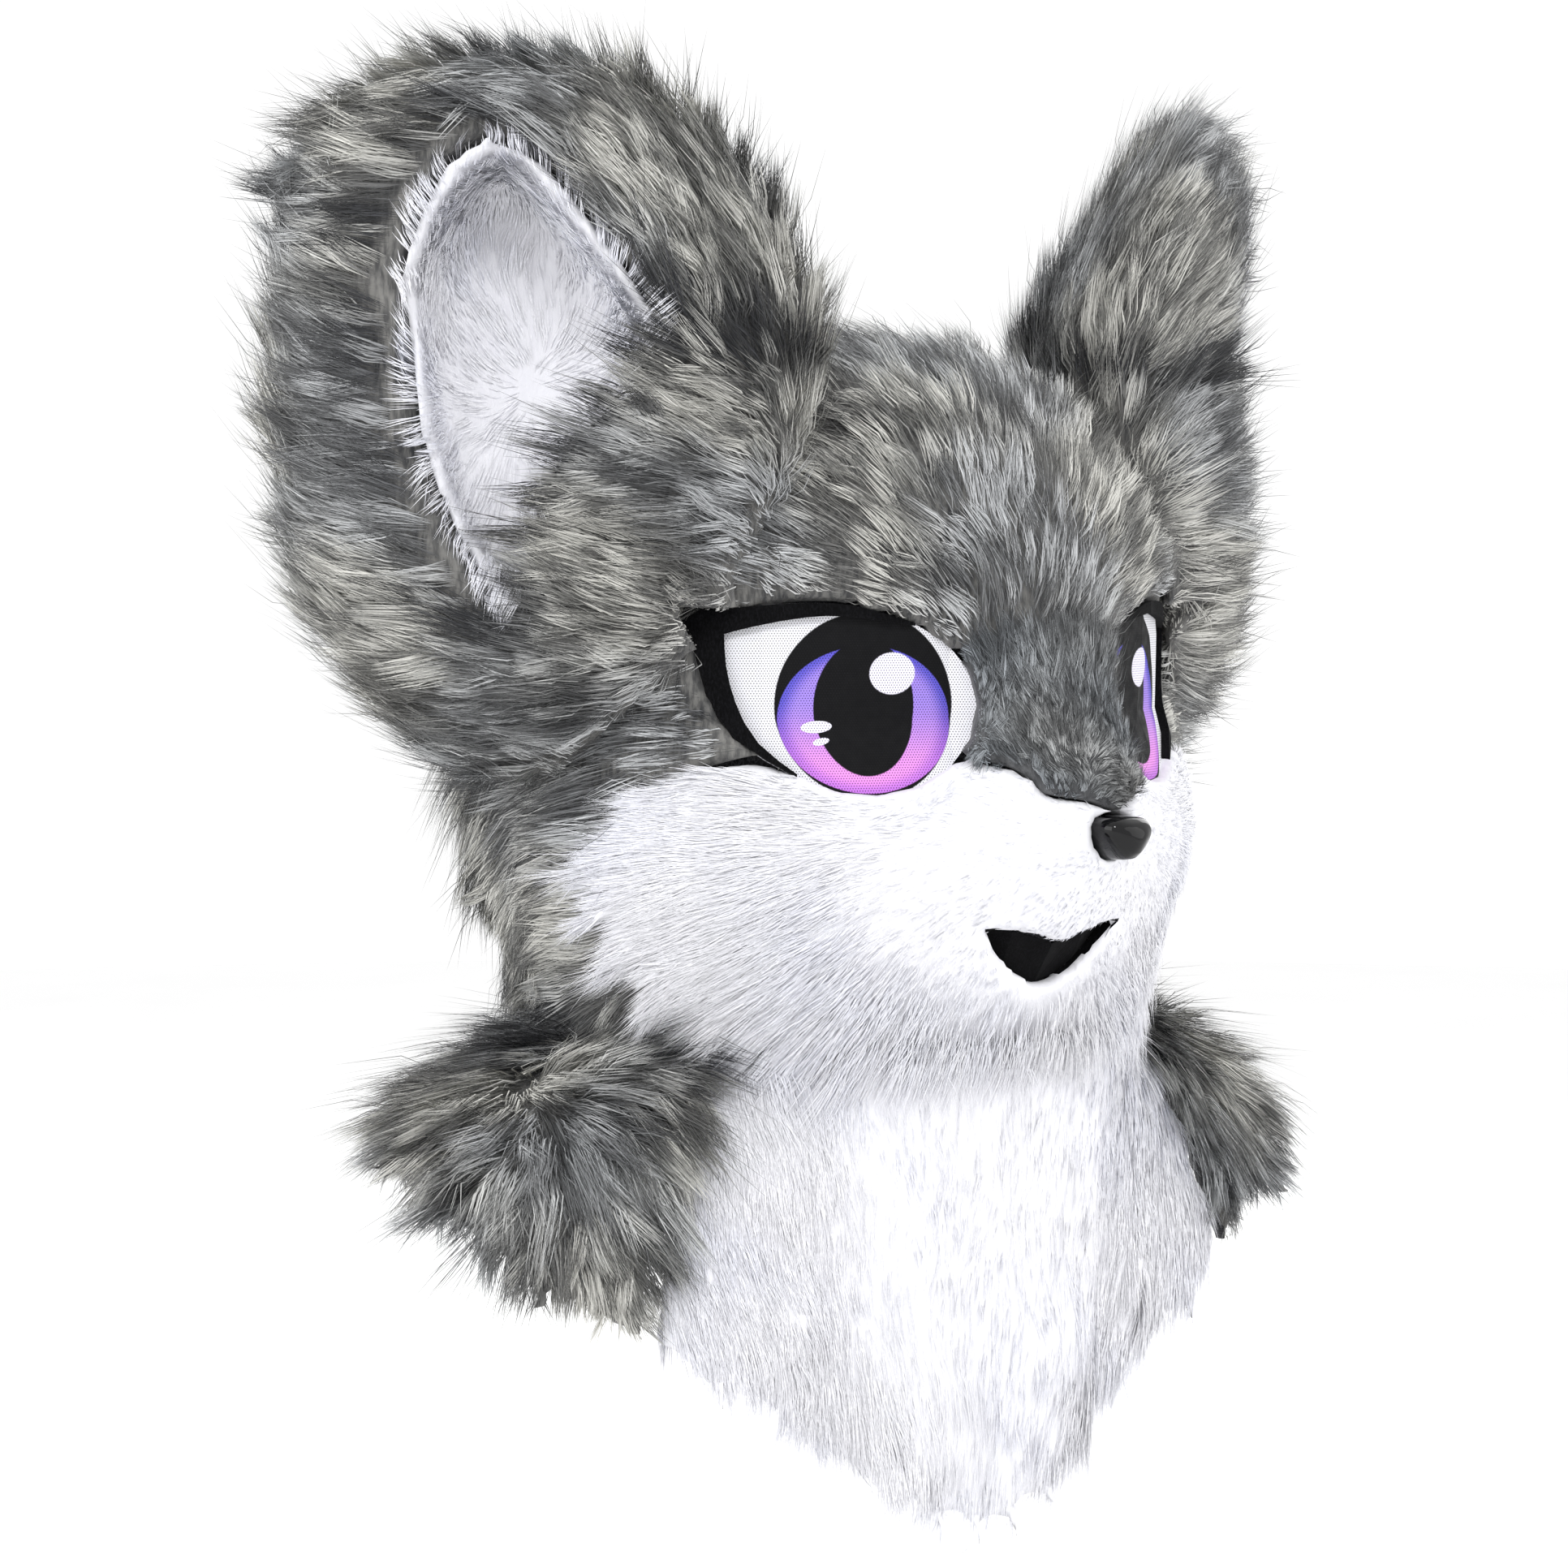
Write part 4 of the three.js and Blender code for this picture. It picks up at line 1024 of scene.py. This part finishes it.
def looks_ahead(side):
    """Picks the faces of an ear's lining that aren't on its back."""
    ahead = ear_axes(side)[1]
    return lambda middles, normals: normals @ ahead > 0.05


# An ear's grey pile grows no nearer than this to its lining
BARE_EDGE = 3.5 * MM


def off_the_lining(side):
    """Picks the faces of an ear that aren't under its white lining."""
    lining = tree_of([f"ear_lining_{WORDS[side]}"])

    def faces_out(middles, normals):
        away = np.array([lining.find_nearest(Vector(middle))[3] for middle in middles])
        return away > BARE_EDGE

    return faces_out


def crown_shade(points):
    """Dark in the creases at the ears, above the folds at their feet, and over the cape."""
    ears = shade_near(["ear_shell_left", "ear_shell_right"], 20 * MM, 0.6)(points)
    above = np.where(points[:, 0] > 0, fold_height(points, 1), fold_height(points, -1))
    rear = smooth_step(-0.02, 0.02, points[:, 1])
    ears *= np.maximum(smooth_step(-0.03, 0.0, above), rear)
    return ears + shade_near(["shoulder_ruff"], 26 * MM, 0.5)(points)


def ear_shade(side):
    """Dark near the hollow and in the fold at an ear's foot."""
    near_hollow = shade_near([f"ear_lining_{WORDS[side]}"], 14 * MM, 0.7)

    def shade(points):
        fold = np.exp(-((fold_height(points, side) / (11 * MM)) ** 2))
        return np.clip(near_hollow(points) + 0.6 * fold, 0, 1) - 0.06

    return shade


def over_the_cape(points):
    """Lifts the head's lowest pile, so that it hangs over the cape and the bib."""
    return 0.45 * smooth_step(HEAD_LOW.z + 0.055, HEAD_LOW.z + 0.01, points[:, 2])


# What a pile is like. lift is in degrees off the skin, and droop the share of it left in a
# strand's outer half. sway, loose, lock_yaw and lock_lift turn strands and locks by chance, in
# radians. lock_size is the number of strands in a lock, pull how far their tips gather, and stray
# the share of guard hairs that stand out. softness is how far a strand is lit as its skin is. A
# face of the skin grows pile if nothing is nearer in front of it than clear. inset, voxel and
# smoothing make the skin.
PILE_DEFAULTS = {
    "coat": "grey",
    "lift": 22,
    "droop": 0.5,
    "sway": 0.22,
    "lock_size": 26,
    "lock_yaw": 0.16,
    "lock_lift": 0.12,
    "pull": 0.6,
    "loose": 0.1,
    "stray": 0.18,
    "width": 0.62 * MM,
    "guard_width": 0.52,
    "softness": 0.6,
    "clear": 8 * MM,
    "inset": 2 * MM,
    "voxel": 6 * MM,
    "smoothing": 3,
    "shade": zeros,
    "density": ones,
    "hem": no_hem,
    "raise": zeros,
    "faces_out": off_the_head,
}
WHITE_PILE = {
    "coat": "white",
    "lift": 5,
    "loose": 0.03,
    "stray": 0.05,
    "inset": 0.5 * MM,
    "width": 0.6 * MM,
    "softness": 1.0,
    "sway": 0.14,
    "lock_yaw": 0.09,
    "lock_lift": 0.02,
    "pull": 0.2,
}
PANELS = {
    "crown_fur": {
        "count": 88000,
        "flow": crown_flow,
        "length": crown_length,
        "raise": over_the_cape,
        "inset": 1 * MM,
        "shade": crown_shade,
    },
    "face_fur": {
        **WHITE_PILE,
        "count": 37000,
        "flow": face_flow,
        "length": face_length,
        "raise": over_the_cape,
        "density": face_density,
        "voxel": 4.5 * MM,
    },
    "bridge_fur": {
        "coat": "bridge",
        "count": 23000,
        "flow": crown_flow,
        "length": bridge_length,
        "inset": 0,
        "voxel": 3.5 * MM,
        "width": 0.42 * MM,
        "sway": 0.4,
        "lock_yaw": 0.25,
        "lock_size": 14,
    },
    "shoulder_ruff": {
        "count": 80000,
        "flow": cape_flow,
        "length": ruff_length,
        "faces_out": outside_only,
        "inset": 0.5 * MM,
        "lock_yaw": 0.24,
        "lock_lift": 0.16,
        "sway": 0.35,
        "hem": hem_of("shoulder_ruff"),
        "shade": shade_near(["head_base", "crown_fur"], 22 * MM, 0.8),
    },
    "chest_bib": {
        **WHITE_PILE,
        "count": 27000,
        "flow": bib_flow,
        "lift": 3.5,
        "length": bib_length,
        "faces_out": outside_only,
        "smoothing": 5,
        "density": bib_density,
        "hem": hem_of("chest_bib"),
    },
}
for ear_side, word in WORDS.items():
    PANELS[f"ear_shell_{word}"] = {
        "count": 79000,
        "flow": ear_flow(ear_side),
        "length": even_length(32 * MM),
        "faces_out": off_the_lining(ear_side),
        "smoothing": 5,
        "shade": ear_shade(ear_side),
    }
    PANELS[f"ear_lining_{word}"] = {
        **WHITE_PILE,
        "count": 10000,
        "flow": lining_flow(ear_side),
        "length": even_length(17 * MM),
        "raise": partial(lining_raise, side=ear_side),
        "density": partial(lining_density, side=ear_side),
        "faces_out": looks_ahead(ear_side),
        "clear": 1 * MM,
        "smoothing": 6,
        "sway": 0.4,
        "stray": 0,
        "lift": 12,
    }


def paint(node, material):
    """Gives a solid that stays another material."""
    NODES[node].data.materials.clear()
    NODES[node].data.materials.append(material)


def dress_panel(name, panel, seed, skins):
    """Replaces a fur panel by its skin and its pile."""
    pile = {**PILE_DEFAULTS, **panel}
    form = (pile["voxel"], pile["inset"], pile["smoothing"])
    skin = skin_of(f"{name}_skin", name, skins[pile["coat"]], *form)
    strands = grow(f"{name}_pile", skin, pile, np.random.default_rng(seed))
    strands.data.materials.append(skins[pile["coat"] + "_pile"])
    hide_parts(name)
    for piece in (skin, strands):
        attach(piece, "root")
    return skin, strands


def repaint(skin, material, chosen):
    """Gives the faces of a skin that chosen picks another material."""
    skin.data.materials.append(material)
    middles = np.array([face.center for face in skin.data.polygons])
    normals = np.array([face.normal for face in skin.data.polygons])
    for face, picked in zip(skin.data.polygons, chosen(middles, normals)):
        face.material_index = int(picked)


def looks_inwards(middles, normals):
    """True on the underside of the cape and the bib, but not on their edges."""
    return (outwardness(middles, normals) < -0.4) & (normals[:, 2] > -0.85)


def inside_mouth(middles, normals):
    """True on the walls of the mouth's opening."""
    return (mouth_share(middles) < 1.01) & ~off_the_head(middles, normals)


# Width at the hem and depth of the cloth as it was cut, before it was hung
FLAT_SIZES = {"shoulder_ruff": (1.3, 0.105), "chest_bib": (0.42, 0.235)}
FIRST_SEED = 100


def dress_fur():
    skins = {
        # The grey and bridge undercoats are much darker than their pile: painted shade for the
        # depth under the strands.
        "grey": backing_material("grey_undercoat_painted_shade", "7C7B78", "2C2D30", 0.8),
        "bridge": backing_material("bridge_undercoat_painted_shade", "5A5B5D", "2B2C2F", 0.8),
        "white": backing_material("white_undercoat", "EAEAEE", "E5E5EA", 0.25),
        "grey_pile": pile_material("grey_pile", 0.5),
        "bridge_pile": pile_material("bridge_pile", 0.55),
        "white_pile": pile_material("white_pile", 0.55),
    }
    cloth = lining_cloth_material()
    fleece = felt_material("mouth_fleece", "030304", "101013")
    paint("mouth_lining", fleece)
    for seed, (name, panel) in enumerate(PANELS.items()):
        skin, strands = dress_panel(name, panel, FIRST_SEED + seed, skins)
        if name in FLAT_SIZES:
            repaint(skin, cloth, looks_inwards)
        else:
            if name == "face_fur":
                repaint(skin, fleece, inside_mouth)


def dress_hard_parts():
    felt = felt_material("black_felt", "050506", "17171A")
    for side, word in WORDS.items():
        paint(f"eye_mesh_{word}", eye_material(side))
        paint(f"eyelid_{word}", felt)
    nose = skin_of("nose_cap", "nose", nose_material(), 1 * MM, 0, 5)
    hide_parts("nose")
    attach(nose, "root")
    paint("head_base", foam_material())


# Camera, light and floor

# Angles are in degrees, from the front and up, and the lens and the sensor in mm
VIEW = {"azimuth": -42, "elevation": 3, "distance": 1.9, "lens": 93.2, "sensor": 36}
VIEW_TARGET = Vector((-21.5 * MM, 19.4 * MM, -175 * MM))


def place_camera():
    camera = placed("camera", bpy.data.cameras.new("camera"))
    azimuth, elevation = math.radians(VIEW["azimuth"]), math.radians(VIEW["elevation"])
    level = math.cos(elevation)
    back = Vector((math.sin(azimuth) * level, -math.cos(azimuth) * level, math.sin(elevation)))
    camera.location = VIEW_TARGET + back * VIEW["distance"]
    camera.rotation_mode = "QUATERNION"
    camera.rotation_quaternion = (-back).to_track_quat("-Z", "Y")
    camera.data.lens = VIEW["lens"]
    camera.data.sensor_width = VIEW["sensor"]
    bpy.context.scene.camera = camera


LIT_PLACE = Vector((0, 0, -0.15))


def area_light(name, position, size, power):
    """A square light, in metres and watts, that looks at the head."""
    light = bpy.data.lights.new(name, "AREA")
    light.size = size
    light.energy = power
    holder = placed(name, light)
    holder.location = position
    holder.rotation_mode = "QUATERNION"
    holder.rotation_quaternion = (LIT_PLACE - Vector(position)).to_track_quat("-Z", "Y")


def light_scene():
    area_light("key", (-1.5, -1.6, 1.5), 0.5, 22)
    area_light("fill", (1.2, -1.9, 0.5), 1.8, 8)
    area_light("left", (-2.1, 0.5, 0.3), 1.6, 16)
    area_light("right", (1.9, 0.9, 0.6), 1.6, 18)
    world = bpy.data.worlds.new("pale_studio")
    world.use_nodes = True
    background = world.node_tree.nodes["Background"]
    background.inputs["Color"].default_value = (1, 1, 1, 1)
    background.inputs["Strength"].default_value = 1.05
    bpy.context.scene.world = world
    bpy.context.scene.view_settings.view_transform = "Standard"


FLOOR = {"radius": 4, "drop": 0.12, "sides": 64}


def lay_floor():
    """A wide round floor below the tip of the bib."""
    turns = np.linspace(0, 2 * math.pi, FLOOR["sides"], endpoint=False)
    level = cad_low.z - FLOOR["drop"]
    corners = [(FLOOR["radius"] * math.cos(a), FLOOR["radius"] * math.sin(a), level) for a in turns]
    mesh = bpy.data.meshes.new("floor")
    mesh.from_pydata(corners, [], [tuple(range(FLOOR["sides"]))])
    mesh.materials.append(floor_material())
    placed("floor", mesh)


place_camera()
light_scene()
lay_floor()
dress_fur()
dress_hard_parts()
